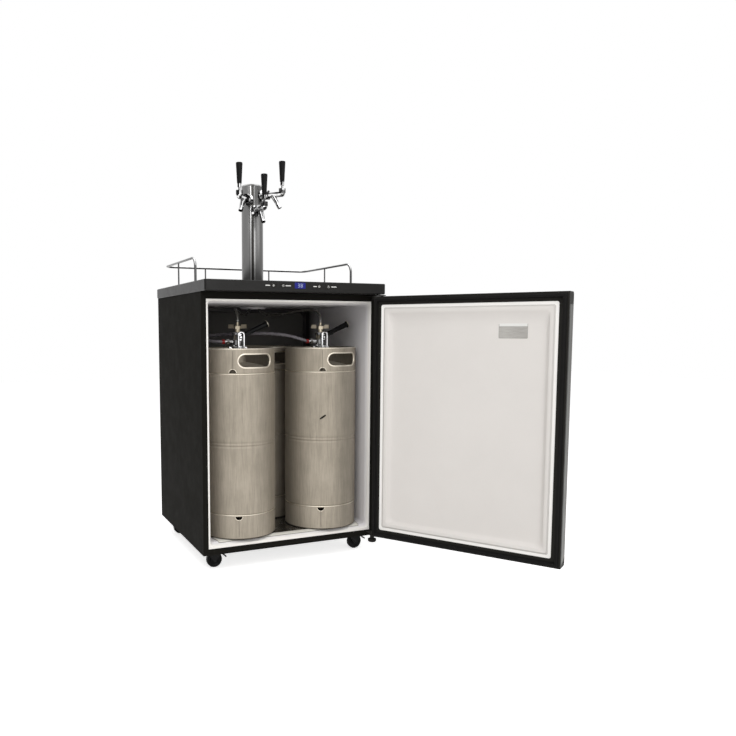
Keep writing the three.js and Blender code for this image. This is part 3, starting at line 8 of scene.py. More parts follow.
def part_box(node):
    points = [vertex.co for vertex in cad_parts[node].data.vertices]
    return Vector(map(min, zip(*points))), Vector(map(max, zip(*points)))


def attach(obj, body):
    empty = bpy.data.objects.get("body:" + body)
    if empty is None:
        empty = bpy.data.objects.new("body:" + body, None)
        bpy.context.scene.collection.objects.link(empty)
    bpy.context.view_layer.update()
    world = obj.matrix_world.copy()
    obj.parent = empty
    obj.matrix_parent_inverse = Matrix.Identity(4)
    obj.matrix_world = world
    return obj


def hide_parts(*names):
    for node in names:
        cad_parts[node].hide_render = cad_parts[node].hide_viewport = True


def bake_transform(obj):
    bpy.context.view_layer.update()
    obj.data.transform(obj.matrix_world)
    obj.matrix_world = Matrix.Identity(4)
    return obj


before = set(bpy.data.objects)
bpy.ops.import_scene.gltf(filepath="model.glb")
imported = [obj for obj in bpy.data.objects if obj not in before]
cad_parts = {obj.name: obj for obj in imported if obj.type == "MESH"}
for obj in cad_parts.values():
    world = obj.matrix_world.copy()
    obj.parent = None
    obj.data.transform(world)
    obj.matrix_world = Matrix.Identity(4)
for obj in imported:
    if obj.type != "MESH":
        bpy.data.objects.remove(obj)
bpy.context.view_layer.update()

print("frame loaded")

# Where the drawing's own zero is: the middle of the cabinet's front, on the floor
shellLow, shellHigh = (Vector(corner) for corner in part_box("cabinet_shell"))
zero = Vector(((shellLow.x + shellHigh.x) / 2, shellLow.y, 0.0))


def at(x, y, z):  # millimetres from that zero, as a place in the scene
    return zero + Vector((x, y, z)) / 1000


# Camera, at the photograph's place

camera = {
    "place": (-912.36, -2089.43, 755.16),
    "tilt": 84.574,
    "turn": -23.70,
    "lens": 35.10,
    "shift": (0.1004, 0.0415),
}


def addCamera():
    data = bpy.data.cameras.new("camera")
    data.lens = camera["lens"]
    data.sensor_width = 36
    data.shift_x, data.shift_y = camera["shift"]
    data.clip_end = 50
    eye = bpy.data.objects.new("camera", data)
    eye.location = at(*camera["place"])
    eye.rotation_euler = (radians(camera["tilt"]), 0, radians(camera["turn"]))
    bpy.context.scene.collection.objects.link(eye)
    bpy.context.scene.camera = eye


addCamera()
print("camera placed")

# Node helpers


class Graph:
    def __init__(self, name):
        self.material = bpy.data.materials.new(name)
        self.material.use_nodes = True
        self.tree = self.material.node_tree
        self.shader = self.tree.nodes["Principled BSDF"]
        self.output = self.tree.nodes["Material Output"]
        coordinates = self.tree.nodes.new("ShaderNodeTexCoord")
        self.places, self.spans = coordinates.outputs["Object"], coordinates.outputs["Generated"]

    def node(self, kind, settings=None, **inputs):
        made = self.tree.nodes.new(kind)
        for key, value in (settings or {}).items():
            setattr(made, key, value)
        for key, value in inputs.items():
            self.feed(made.inputs[key.replace("_", " ")], value)
        return made

    def feed(self, socket, value):
        if isinstance(value, bpy.types.NodeSocket):
            self.tree.links.new(value, socket)
        else:
            socket.default_value = value

    def math(self, operation, first, second=0.0):
        made = self.tree.nodes.new("ShaderNodeMath")
        made.operation = operation
        self.feed(made.inputs[0], first)
        self.feed(made.inputs[1], second)
        return made.outputs[0]

    def stretched(self, scale, vector=None):
        source = self.places if vector is None else vector
        return self.node("ShaderNodeMapping", Vector=source, Scale=scale).outputs["Vector"]

    def noise(self, scale, detail=4.0, roughness=0.5, vector=None):
        source = self.places if vector is None else vector
        made = self.node("ShaderNodeTexNoise", Vector=source, Scale=scale, Detail=detail, Roughness=roughness)
        return made.outputs["Fac"]

    def ranged(self, value, low, high, fromLow=0.0, fromHigh=1.0):
        made = self.tree.nodes.new("ShaderNodeMapRange")
        for index, each in enumerate((value, fromLow, fromHigh, low, high)):
            self.feed(made.inputs[index], each)
        return made.outputs[0]

    def mixed(self, share, first, second, blend="MIX"):
        made = self.tree.nodes.new("ShaderNodeMix")
        made.data_type = "RGBA"
        made.blend_type = blend
        self.feed(made.inputs[0], share)
        self.feed(made.inputs[6], first)
        self.feed(made.inputs[7], second)
        return made.outputs[2]

    def ramp(self, share, stops):
        # grey tones at places from 0 to 1
        made = self.tree.nodes.new("ShaderNodeValToRGB")
        self.feed(made.inputs["Fac"], share)
        places = made.color_ramp.elements
        for element, (place, tone) in zip(places, (stops[0], stops[-1])):
            element.position, element.color = place, shade(tone)
        for place, tone in stops[1:-1]:
            places.new(place).color = shade(tone)
        return made.outputs["Color"]

    def bump(self, height, strength, distance, under=None):
        made = self.node("ShaderNodeBump", Height=height, Strength=strength, Distance=distance)
        if under is not None:
            self.feed(made.inputs["Normal"], under)
        return made.outputs["Normal"]

    def set(self, **inputs):
        for key, value in inputs.items():
            self.feed(self.shader.inputs[key.replace("_", " ")], value)
        return self


def shade(value):  # an sRGB grey or colour, 0 to 255, as linear light
    values = value if isinstance(value, tuple) else (value, value, value)
    linear = [((v / 255 + 0.055) / 1.055) ** 2.4 if v > 10 else v / 255 / 12.92 for v in values]
    return (*linear, 1.0)


# Paints and plastics: a grain with large, faint blotches over it

# each one's dark and light tone, range of roughness, gloss, and its grain's scale and depth
plastics = {
    "cabinetPaint": ((23, 22, 20), (31, 30, 27), (0.56, 0.68), 0.012, 900, 0.00012),
    "worktopGrain": ((13, 12, 11), (21, 20, 18), (0.3, 0.4), 0.17, 1300, 0.00012),
    "linerWhite": ((206, 204, 206), (222, 220, 221), (0.36, 0.48), 0.2, 500, 0.00006),
    "doorLinerWhite": ((206, 202, 198), (218, 214, 210), (0.4, 0.54), 0.2, 500, 0.00006),
    # painted light for the door liner's flange, and painted shade for its groove
    "paintedLitLinerEdge": ((234, 232, 228), (245, 243, 240), (0.4, 0.54), 0.2, 500, 0.00006),
    "paintedGrooveShade": ((194, 191, 187), (208, 205, 201), (0.5, 0.6), 0.1, 500, 0.00006),
    "trayLipPale": ((200, 198, 190), (218, 216, 208), (0.3, 0.42), 0.2, 500, 0.00004),
    # painted shadow: a dark tone for the bead round each keg's foot
    "paintedFootShadow": ((44, 40, 34), (66, 60, 51), (0.5, 0.62), 0.1, 900, 0.00004),
    "blackTrim": ((27, 26, 24), (40, 39, 36), (0.46, 0.6), 0.08, 1500, 0.0001),
    "handleBlack": ((8, 8, 8), (15, 15, 15), (0.3, 0.42), 0.1, 300, 0.00003),
    "rubberBlack": ((17, 17, 17), (29, 28, 27), (0.6, 0.8), 0.05, 1800, 0.00012),
    "backCoverBlack": ((80, 78, 76), (98, 96, 93), (0.5, 0.62), 0.05, 900, 0.0001),
    "redSleeve": ((112, 20, 22), (152, 34, 32), (0.3, 0.45), 0.3, 500, 0.00004),
    "forkBlack": ((9, 9, 9), (16, 16, 16), (0.22, 0.34), 0.12, 700, 0.00004),
    "wheelBlack": ((7, 7, 7), (14, 14, 14), (0.34, 0.5), 0.08, 900, 0.00006),
    "foamEdge": ((188, 168, 108), (222, 204, 150), (0.8, 0.95), 0.1, 700, 0.0004),
    "keyMarkGrey": ((204, 203, 200), (230, 229, 226), (0.4, 0.5), 0.2, 900, 0.00002),
    "weldShade": ((96, 90, 82), (122, 115, 105), (0.5, 0.6), 0.2, 900, 0.00004),
    "scuffDark": ((18, 16, 14), (46, 40, 34), (0.6, 0.75), 0.1, 900, 0.0001),
}
# the cabinet liner gets a painted light, paler at its open front, and a painted shade, dark behind the cover
# of its back wall, where the light falls off
linerPaintedLightAndShade = {"lip": (240, 237, 232), "deep": (64, 62, 61)}


def plastic(name):
    dark, light, rough, gloss, grain, depth = plastics[name]
    graph = Graph(name)
    blotches = graph.noise(9.0, 5.0, 0.6)
    fine = graph.noise(grain, 2.0, 0.6)
    tone = graph.math("ADD", graph.math("MULTIPLY", blotches, 0.5), graph.math("MULTIPLY", fine, 0.5))
    colour = graph.mixed(tone, shade(dark), shade(light))
    # painted light on the liner's front lip and painted shade towards its back wall, by depth
    if name == "linerWhite":
        paintedLightDepth = graph.node("ShaderNodeSeparateXYZ", Vector=graph.spans).outputs["Y"]
        colour = graph.mixed(graph.ranged(paintedLightDepth, 1.0, 0.0, 0.0, 0.025), colour, shade(linerPaintedLightAndShade["lip"]))
        colour = graph.mixed(graph.ranged(paintedLightDepth, 0.0, 1.0, 0.8, 0.94), colour, shade(linerPaintedLightAndShade["deep"]))
    smudges = graph.ranged(graph.noise(23.0, 6.0, 0.65), *rough, 0.3, 0.7)
    graph.set(Base_Color=colour, Roughness=smudges, Normal=graph.bump(fine, 0.5, depth))
    return graph.set(Specular_IOR_Level=gloss).material


# Metals: brushed along one way, or plated and polished

# each one's dark and light tone, range of roughness, and its streaks' scale along X, Y and Z and depth
metals = {
    "doorSteel": ((118, 117, 114), (148, 147, 144), (0.3, 0.44), (60, 60, 3000), 0.00005),
    # painted shade: a darker copy of the door steel for its folded edges
    "doorSteelPaintedShade": ((49, 49, 44), (70, 70, 64), (0.3, 0.44), (60, 60, 3000), 0.00005),
    "zincPlate": ((92, 92, 90), (128, 127, 124), (0.3, 0.5), (90, 90, 90), 0.00006),
    "trayPlate": ((112, 112, 111), (146, 146, 144), (0.18, 0.32), (1500, 40, 40), 0.00003),
    "castMetal": ((74, 71, 66), (126, 122, 115), (0.3, 0.45), (300, 300, 300), 0.0001),
    # painted highlight: a brighter copy of the keg's steel for its rims, beads, edges and the grip's ring
    "kegRimSteel": ((188, 180, 165), (236, 229, 214), (0.38, 0.52), (120, 120, 120), 0.00004),
    "wingMetal": ((132, 124, 108), (196, 186, 166), (0.34, 0.46), (200, 200, 200), 0.00006),
    "plateGrey": ((104, 102, 99), (196, 193, 188), (0.4, 0.52), (35, 35, 520), 0.00003),
}


def metal(name):
    dark, light, rough, brush, depth = metals[name]
    graph = Graph(name)
    streaks = graph.noise(1.0, 3.0, 0.6, graph.stretched(brush))
    stains = graph.noise(14.0, 5.0, 0.6)
    tone = graph.math("ADD", graph.math("MULTIPLY", streaks, 0.55), graph.math("MULTIPLY", stains, 0.45))
    colour = graph.mixed(tone, shade(dark), shade(light))
    graph.set(Base_Color=colour, Roughness=graph.ranged(tone, *rough, 0.3, 0.7), Metallic=1.0)
    return graph.set(Normal=graph.bump(streaks, 0.35, depth)).material


# Polished plating: painted reflections, bands of tone that follow the surface's own direction

# how rough, how far the painted reflections' tones swing round the piece, and the painted reflection's grey
# at each slope from facing down to facing up
paintedReflections = {
    "chrome": dict(
        rough=0.12, swing=0.22,
        tones=((-1.0, 44), (-0.72, 150), (-0.46, 240), (-0.26, 60), (-0.05, 18), (0.12, 40),
               (0.28, 180), (0.46, 252), (0.74, 252), (0.88, 90), (1.0, 226)),
    ),
    "couplerChrome": dict(
        rough=0.2, swing=0.4,
        tones=((-1.0, 80), (-0.6, 196), (-0.3, 100), (0.0, 150), (0.2, 216), (0.5, 246),
               (0.8, 150), (1.0, 226)),
    ),
    "railChrome": dict(
        rough=0.16, swing=0.1,
        tones=((-1.0, 60), (-0.5, 96), (-0.2, 56), (0.2, 84), (0.45, 150), (0.66, 226), (1.0, 214)),
    ),
}


def polished(name):
    values = paintedReflections[name]
    graph = Graph(name)
    facing = graph.tree.nodes.new("ShaderNodeTexCoord").outputs["Normal"]
    parts = graph.node("ShaderNodeSeparateXYZ", Vector=facing)
    angle = graph.math("ARCTAN2", parts.outputs["Y"], parts.outputs["X"])
    swing = graph.math("MULTIPLY", graph.math("SINE", graph.math("MULTIPLY", angle, 3.0)), values["swing"])
    wobble = graph.ranged(graph.noise(60.0, 3.0, 0.5), -0.12, 0.12, 0.3, 0.7)
    height = graph.math("ADD", graph.math("ADD", parts.outputs["Z"], swing), wobble)
    share = graph.ranged(height, 0.0, 1.0, -1.0, 1.0)
    # painted reflection: the grey comes from the slope of the surface
    colour = graph.ramp(share, [((rise + 1) / 2, tone) for rise, tone in values["tones"]])
    rough = graph.ranged(graph.noise(40.0, 3.0, 0.5), values["rough"] * 0.7, values["rough"] * 1.4, 0.3, 0.7)
    return graph.set(Base_Color=colour, Roughness=rough, Metallic=1.0).material


# Steel brushed round or along a turned piece, whose own Z is its axis

# each one's dark and light tone, range of roughness, streaks' scale round and along it, anisotropy, dents
turnedMetals = {
    "kegSteel": ((136, 129, 117), (168, 160, 147), (0.6, 0.74), 18, 64, 0.1, 0.9),
    "towerSteel": ((96, 94, 90), (130, 128, 124), (0.28, 0.38), 3, 900, 0.2, 0.0),
    "capSteel": ((150, 148, 144), (188, 186, 182), (0.24, 0.34), 3, 900, 0.2, 0.0),
}
# painted reflections: greys at degrees round the piece, laid over its own tones by the share below
paintedReflectionBands = {
    "towerSteel": (
        (-180, 118), (-160, 120), (-140, 119), (-128, 122), (-125, 82), (-121.6, 112), (-119.2, 200),
        (-117, 160), (-115.2, 50), (-113.2, 12), (-105, 12), (-102.6, 60), (-99.6, 156), (-96.4, 124),
        (-92, 90), (-85, 104), (-60, 101), (-40, 111), (-20, 136), (0, 95), (22, 138), (48, 70),
        (70, 166), (95, 88), (120, 122), (146, 158), (160, 138), (180, 118),
    ),
    "capSteel": (
        (-180, 168), (-150, 190), (-136, 150), (-124, 92), (-115, 40), (-104, 60), (-96, 150),
        (-80, 182), (-50, 196), (-20, 150), (20, 190), (80, 120), (130, 176), (180, 168),
    ),
}
paintedReflectionShare = 0.84


def turnedMetal(name):
    dark, light, rough, around, along, anisotropy, dents = turnedMetals[name]
    graph = Graph(name)
    parts = graph.node("ShaderNodeSeparateXYZ", Vector=graph.places)
    angle = graph.math("ARCTAN2", parts.outputs["Y"], parts.outputs["X"])
    round = {"X": graph.math("COSINE", angle), "Y": graph.math("SINE", angle), "Z": parts.outputs["Z"]}
    wrapped = graph.node("ShaderNodeCombineXYZ", **round)
    wrapped = graph.stretched((along, along, around), wrapped.outputs["Vector"])
    streaks = graph.noise(1.0, 4.0, 0.65, wrapped)
    stains = graph.noise(11.0, 6.0, 0.62)
    drips = graph.noise(1.0, 3.0, 0.5, graph.stretched((60.0, 60.0, 6.0)))
    tone = graph.math("ADD", graph.math("MULTIPLY", streaks, 0.45), graph.math("MULTIPLY", stains, 0.3))
    tone = graph.math("ADD", tone, graph.math("MULTIPLY", drips, 0.25))
    share = graph.ranged(tone, 0.0, 1.0, 0.3, 0.7)
    colour = graph.mixed(share, shade(dark), shade(light))
    # painted reflection bands, fixed round the piece
    if name in paintedReflectionBands:
        stops = [((turn + 180) / 360, grey) for turn, grey in paintedReflectionBands[name]]
        greys = graph.ramp(graph.ranged(angle, 0.0, 1.0, -pi, pi), stops)
        colour = graph.mixed(paintedReflectionShare, colour, greys)
    roughness = graph.ranged(tone, rough[1], rough[0], 0.35, 0.65)
    normal = graph.bump(streaks, 0.4, 0.00003)
    if dents:
        normal = graph.bump(graph.noise(16.0, 2.0, 0.4), dents, 0.0008, normal)
    tangent = graph.node("ShaderNodeTangent", {"direction_type": "RADIAL", "axis": "Z"}).outputs["Tangent"]
    graph.set(Base_Color=colour, Roughness=roughness, Metallic=1.0, Normal=normal, Tangent=tangent)
    return graph.set(Anisotropic=anisotropy).material


# Hose plastic: each one's dark and light tone and range of roughness

hoses = {
    "beerHose": ((58, 56, 52), (84, 82, 77), (0.2, 0.32)),
    "gasHose": ((84, 80, 86), (128, 124, 128), (0.2, 0.34)),
}


def hosePlastic(name):
    dark, light, rough = hoses[name]
    graph = Graph(name)
    clouds = graph.noise(40.0, 5.0, 0.6)
    gloss = graph.ranged(graph.noise(90.0, 3.0, 0.5), *rough, 0.3, 0.7)
    colour = graph.mixed(clouds, shade(dark), shade(light))
    graph.set(Base_Color=colour, Roughness=gloss, Normal=graph.bump(clouds, 0.2, 0.0002))
    return graph.set(Specular_IOR_Level=0.35, Coat_Weight=0.12, Coat_Roughness=0.2).material


# Lit surfaces: each one's scale of clouds, low and high glow, unlit tone and range of roughness

glows = {
    "displayBlue": (70.0, (26, 28, 112), (48, 52, 156), (6, 8, 26), (0.2, 0.3)),
    "lampWhite": (300.0, (196, 214, 255), (228, 238, 255), 60, (0.2, 0.4)),
}
glowStrength = 0.8


def glowing(name):
    scale, low, high, unlit, rough = glows[name]
    graph = Graph(name)
    glow = graph.noise(scale, 2.0, 0.5)
    colour = graph.mixed(glow, shade(low), shade(high))
    graph.set(Base_Color=shade(unlit), Roughness=graph.ranged(glow, *rough))
    return graph.set(Emission_Color=colour, Emission_Strength=glowStrength, Specular_IOR_Level=0.1).material


makers = ((plastics, plastic), (metals, metal), (paintedReflections, polished), (turnedMetals, turnedMetal),
          (hoses, hosePlastic), (glows, glowing))
finishes = {name: make(name) for values, make in makers for name in values}
print("materials made")

# Each CAD node keeps its shape and gets the first of these finishes that lists a start of its name

nodeFinishes = {
    "cabinetPaint": ("cabinet_shell", "back_panel", "compressor"),
    "linerWhite": ("inner_liner", "tower_duct"),
    "foamEdge": "insulation",
    "zincPlate": "base_pan",
    "backCoverBlack": "back_wall_cover",
    "trayPlate": "floor_tray",
    "worktopGrain": "worktop",
    "displayBlue": "display_window",
    "railChrome": "guard_rail",
    "castMetal": "gas_manifold",
    "blackTrim": ("top_hinge", "lower_hinge", "door_core", "door_top_cap", "door_bottom_cap", "key_",
                  "brake_pedal_"),
    "doorSteel": "door_skin",
    "doorLinerWhite": "door_liner",
    "rubberBlack": "door_gasket",
    "chrome": ("tower_", "faucet_", "tap_lever_", "keg_"),
    "handleBlack": ("tap_handle_", "coupler_lever_"),
    "couplerChrome": "coupler_body_",
    "wingMetal": "coupler_probe_",
    "beerHose": "beer_line_",
    "gasHose": "gas_hose_",
    "forkBlack": "caster_fork_",
    "wheelBlack": "caster_wheel_",
}

for name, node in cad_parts.items():
    finish = next(finish for finish, starts in nodeFinishes.items() if name.startswith(starts))
    for slot in node.material_slots:
        slot.material = finishes[finish]

# The door skin's folded edges get a darker copy of its brushed steel, a painted shade

doorHinge = {"axis": (292, -56.6), "angle": 122.66}


def paintShadeOnDoorEdges():
    # on the faces that turn more than 45 degrees from its front
    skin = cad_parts["door_skin"]
    skin.data.materials.append(finishes["doorSteelPaintedShade"])
    turned = skin.matrix_world.to_3x3()
    front = Matrix.Rotation(radians(doorHinge["angle"]), 3, "Z") @ Vector((0, -1, 0))
    for face in skin.data.polygons:
        if abs((turned @ face.normal).normalized().dot(front)) < 0.7:
            face.material_index = len(skin.data.materials) - 1


paintShadeOnDoorEdges()
print("nodes dressed")

# Mesh helpers


def smoothed(piece, degrees):
    bpy.context.view_layer.objects.active = piece
    piece.select_set(True)
    bpy.ops.object.shade_smooth_by_angle(angle=radians(degrees))
    piece.select_set(False)


def joined(piece, body, replaces):
    # takes a piece into the frame
    if body:
        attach(piece, body)
    if replaces:
        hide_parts(replaces)
    return piece


def finished(mesh, name, finish, smooth=35, body="cabinet", place=None, turn=None, replaces=None):
    piece = bpy.data.objects.new(name, mesh)
    bpy.context.scene.collection.objects.link(piece)
    if place is not None:
        piece.location = place
    if turn is not None:
        piece.rotation_euler = turn
    mesh.materials.append(finishes[finish])
    if smooth:
        smoothed(piece, smooth)
    return joined(piece, body, replaces)


def meshOf(points, faces):
    mesh = bpy.data.meshes.new("mesh")
    mesh.from_pydata([tuple(p) for p in points], [], faces)
    mesh.update()
    return mesh


def stripMesh(points):
    # faces between two rows of points that take turns
    return meshOf(points, [(i, i + 2, i + 3, i + 1) for i in range(0, len(points) - 2, 2)])


def loftMesh(loops, closed=False):
    # a skin over loops of points, with both ends filled, or closed round on itself
    count = len(loops[0])
    points = [place for loop in loops for place in loop]
    total = len(points)
    faces = [] if closed else [tuple(range(count)), tuple(reversed(range(total - count, total)))]
    for low in range(0, total if closed else total - count, count):
        high = (low + count) % total
        for step in range(count):
            after = (step + 1) % count
            faces.append((low + step, low + after, high + after, high + step))
    mesh = meshOf(points, faces)
    work = bmesh.new()
    work.from_mesh(mesh)
    bmesh.ops.recalc_face_normals(work, faces=work.faces)
    work.to_mesh(mesh)
    work.free()
    return mesh


def turnedMesh(profile, steps, closed=False):
    # profile: (radius, height) pairs in millimetres, turned about Z
    work = bmesh.new()
    rings = []
    for radius, height in profile:
        if radius < 0.001:
            rings.append([work.verts.new((0, 0, height / 1000))])
            continue
        ring = []
        for step in range(steps):
            angle = 2 * pi * step / steps
            place = (radius * cos(angle), radius * sin(angle), height)
            ring.append(work.verts.new([each / 1000 for each in place]))
        rings.append(ring)
    pairs = list(zip(rings, rings[1:]))
    if closed:
        pairs.append((rings[-1], rings[0]))
    for low, high in pairs:
        for step in range(steps):
            after = (step + 1) % steps
            corners = [(low, step), (low, after), (high, after), (high, step)]
            unique = list(dict.fromkeys(ring[index % len(ring)] for ring, index in corners))
            if len(unique) > 2:
                work.faces.new(unique)
    bmesh.ops.recalc_face_normals(work, faces=work.faces)
    mesh = bpy.data.meshes.new("mesh")
    work.to_mesh(mesh)
    work.free()
    return mesh


def rounded(points, radius, steps=4):
    # softens the corners of a profile
    out = [points[0]]
    for before, here, after in zip(points, points[1:], points[2:]):
        a, b, c = Vector(before), Vector(here), Vector(after)
        reach = min(radius, (a - b).length * 0.45, (c - b).length * 0.45)
        start, end = b + (a - b).normalized() * reach, b + (c - b).normalized() * reach
        for step in range(steps + 1):
            t = step / steps
            out.append(tuple((1 - t) ** 2 * start + 2 * t * (1 - t) * b + t * t * end))
    out.append(points[-1])
    return out


def roundedSlot(width, height, radius, steps=8):
    points = []
    for corner, (sx, sz) in enumerate(((1, 1), (-1, 1), (-1, -1), (1, -1))):
        cx, cz = sx * (width / 2 - radius), sz * (height / 2 - radius)
        for step in range(steps + 1):
            angle = radians(90 * (corner + step / steps))
            points.append((cx + radius * cos(angle), cz + radius * sin(angle)))
    return points


def filled(outline, reach):
    # more points along an outline's long stretches
    out = []
    for (x0, z0), (x1, z1) in zip(outline, outline[1:] + outline[:1]):
        count = max(1, round(sqrt((x1 - x0) ** 2 + (z1 - z0) ** 2) / reach))
        out += [(x0 + (x1 - x0) * i / count, z0 + (z1 - z0) * i / count) for i in range(count)]
    return out


def tubePiece(name, points, radius, finish, capped=True, resolution=8,
              body="cabinet", replaces=None):
    data = bpy.data.curves.new(name, "CURVE")
    data.dimensions = "3D"
    data.bevel_depth = radius / 1000
    data.bevel_resolution = resolution
    data.use_fill_caps = capped
    spline = data.splines.new("POLY")
    spline.points.add(len(points) - 1)
    for item, place in zip(spline.points, points):
        item.co = (*place, 1)
    spline.use_smooth = True
    piece = bpy.data.objects.new(name, data)
    data.materials.append(finishes[finish])
    bpy.context.scene.collection.objects.link(piece)
    return joined(piece, body, replaces)


# Kegs: turned shells with hand holes, drain notches and rolled rims

keg = {
    "height": 600,
    # radius and thickness of the collar's and the foot's wall
    "wall": (119.1, 2.3),
    "seamHigh": 521,
    "seamLow": 76,
    # hand hole: width, height, corner, and how high
    "hole": (114.5, 40, 20),
    "holeRise": 561,
    # drain notch: radius, distance past the seam, and degrees from the hand hole
    "notch": 11,
    "notchLift": 2.5,
    "notchTurn": 38,
    # from and to this far from the axis, all the cuts go through the wall
    "cut": (60, 124),
    "footNotchTurn": {"left": 30, "right": 40, "rear": 41},
    # radius round the keg and thickness of the hand holes' rolled edge
    "gripEdge": (116.9, 2.9),
    # radius, height, thickness and finish of each bead
    "beads": {
        # the top and seam beads are steel with a painted highlight
        "Top": (117.2, 597.2, 2.7, "kegRimSteel"),
        "Seam": (118.5, 520.4, 1.5, "kegRimSteel"),
        "FootSeam": (118.5, 76.4, 1.5, "kegRimSteel"),
        # the foot's bead is a dark painted shadow where the keg stands on the tray
        "Foot": (117.6, 2.6, 2.4, "paintedFootShadow"),
    },
    # radius and thickness of the weld lines, and their heights
    "weld": (119.0, 0.7),
    "welds": {"Top": (535, 592), "Foot": (8, 62)},
    # radius and thickness of the notches' edge, and its size beside the notch
    "notchEdge": (118.6, 0.9, 1.1),
    # across, back, and the turn of its hand holes
    "places": {"left": (-146, 110, -79), "right": (150, 110, -74), "rear": (2, 312, -60)},
}
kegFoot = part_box("keg_left")[0][2]


def kegCentre(name):
    # the middle of a keg's foot
    x, y, _ = keg["places"][name]
    return at(x, y, 0) + Vector((0, 0, kegFoot))


def kegOutline():
    shell = [(0, 46), (34, 46), (83, 61), (113, 74), (119.4, 79), (119.9, 84)]
    shell += [(119.9, 289), (119.0, 291.5), (118.2, 294), (118.4, 296), (119.9, 298), (119.95, 300.5)]
    shell += [(118.6, 302.5), (118.3, 305), (119.1, 307.5), (119.9, 310)]
    shell += [(119.9, 513), (119.4, 518), (113, 523), (83, 542), (43, 550.5), (27, 553), (26, 556)]
    shell += [(26, 590), (25.4, 593.6), (22, 595), (14.4, 595), (13.5, 594), (13.5, 560)]
    return rounded(shell, 3.5, 3)


def kegWall(height, seam, up):
    # the collar's or the foot's wall with its rolled rim, away from the seam
    outer, wall = keg["wall"]
    foot = [(114.6, -4), (116.6, -4), (116.6, 0.2), (118.4, 1.4), (outer, 3.4)]
    rim = [(118.9, height - 8), (119.8, height - 5.4), (119.9, height - 2.6), (118.2, height - 0.4)]
    rim += [(115.8, height - 0.1), (113.9, height - 1.6), (113.7, height - 4), (115.4, height - 5.6)]
    profile = foot + rim + [(outer - wall, height - 8), (outer - wall, 6)]
    return [(radius, seam + up * rise) for radius, rise in profile]


def cutFrom(piece, cutters):
    for cutter in cutters:
        step = piece.modifiers.new("cut", "BOOLEAN")
        step.operation = "DIFFERENCE"
        step.solver = "EXACT"
        step.object = cutter
    bpy.context.view_layer.update()
    mesh = bpy.data.meshes.new_from_object(piece.evaluated_get(bpy.context.evaluated_depsgraph_get()))
    old = piece.data
    piece.modifiers.clear()
    piece.data = mesh
    bpy.data.meshes.remove(old)
    for cutter in cutters:
        bpy.data.objects.remove(cutter)


def prism(points, y0, y1, turn, rise):
    # an outline in X and Z drawn along Y, then turned about Z
    spin = Matrix.Rotation(turn, 3, "Z")
    mesh = loftMesh([[spin @ Vector((x, y, z + rise)) / 1000 for x, z in points] for y in (y0, y1)])
    cutter = bpy.data.objects.new("cutter", mesh)
    bpy.context.scene.collection.objects.link(cutter)
    return cutter


def onKeg(centre, radius, facing, across, rise, side=1):
    # a place on the keg's wall, across millimetres from the middle of its hand hole
    spin = Matrix.Rotation(facing, 3, "Z")
    return centre + (spin @ Vector((across * side, -side * sqrt(radius**2 - across**2), rise))) / 1000


def addKeg(name):
    facing = radians(keg["places"][name][2] + 90)
    centre = kegCentre(name)
    high, low, lift = keg["seamHigh"], keg["seamLow"], keg["notchLift"]
    angles = [pi * i / 14 for i in range(15)]
    # each notch's turn, height and half-moon
    notches = {
        "Top": (facing - radians(keg["notchTurn"]), high + lift,
                [(keg["notch"] * cos(a), keg["notch"] * sin(a)) for a in angles]),
        "Foot": (facing - radians(keg["footNotchTurn"][name]), low - lift,
                 [(keg["notch"] * cos(a), -keg["notch"] * sin(a)) for a in angles]),
    }
    collar, chime, vessel = (
        finished(turnedMesh(profile, 128, closed), f"keg{part}_{name}", "kegSteel", smooth=0)
        for part, profile, closed in (
            ("Collar", kegWall(keg["height"] - high, high, 1), True),
            ("Chime", kegWall(low, low, -1), True),
            ("Vessel", kegOutline(), False),
        )
    )
    inside, outside = keg["cut"]
    slot = roundedSlot(*keg["hole"])
    holes = [prism(slot, *ends, facing, keg["holeRise"]) for ends in ((-outside, -inside), (inside, outside))]
    top, foot = (prism(arch, -outside, -inside, turn, rise) for turn, rise, arch in notches.values())
    cutFrom(collar, holes + [top])
    cutFrom(chime, [foot])
    for piece in (collar, chime, vessel):
        piece.location = centre
        smoothed(piece, 40)
    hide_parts(f"keg_{name}")
    addKegEdges(name, centre, facing, notches)


def addKegEdges(name, centre, facing, notches):
    # rolled edges of the hand holes and notches and beads along the rims and seams, bright with a painted
    # highlight except the foot's dark bead of painted shadow, and the weld lines
    radius, thick = keg["gripEdge"]
    width, height, corner = keg["hole"]
    outline = filled(roundedSlot(width + thick, height + thick, corner + thick / 2, 10), 4)
    places = [(px, keg["holeRise"] + pz) for px, pz in outline + outline[:1]]
    for part, side in (("front", 1), ("back", -1)):
        route = [onKeg(centre, radius, facing, px, rise, side) for px, rise in places]
        tubePiece(f"kegGripEdge_{name}_{part}", route, thick, "kegRimSteel", False, 5)
    for part, (radius, rise, thick, finish) in keg["beads"].items():
        angles = [pi * i / 60 for i in range(121)]
        route = [centre + Vector((radius * cos(a), radius * sin(a), rise)) / 1000 for a in angles]
        tubePiece(f"kegBead{part}_{name}", route, thick, finish, False, 4)
    radius, thick = keg["weld"]
    for part, (turn, _, _) in notches.items():
        route = [onKeg(centre, radius, turn, 0, rise) for rise in keg["welds"][part]]
        tubePiece(f"kegWeld{part}_{name}", route, thick, "weldShade", True, 3)
    radius, thick, size = keg["notchEdge"]
    for part, (turn, lift, arch) in notches.items():
        route = [onKeg(centre, radius, turn, size * px, lift + size * pz) for px, pz in arch]
        tubePiece(f"kegNotchEdge{part}_{name}", route, thick, "kegRimSteel", True, 4)


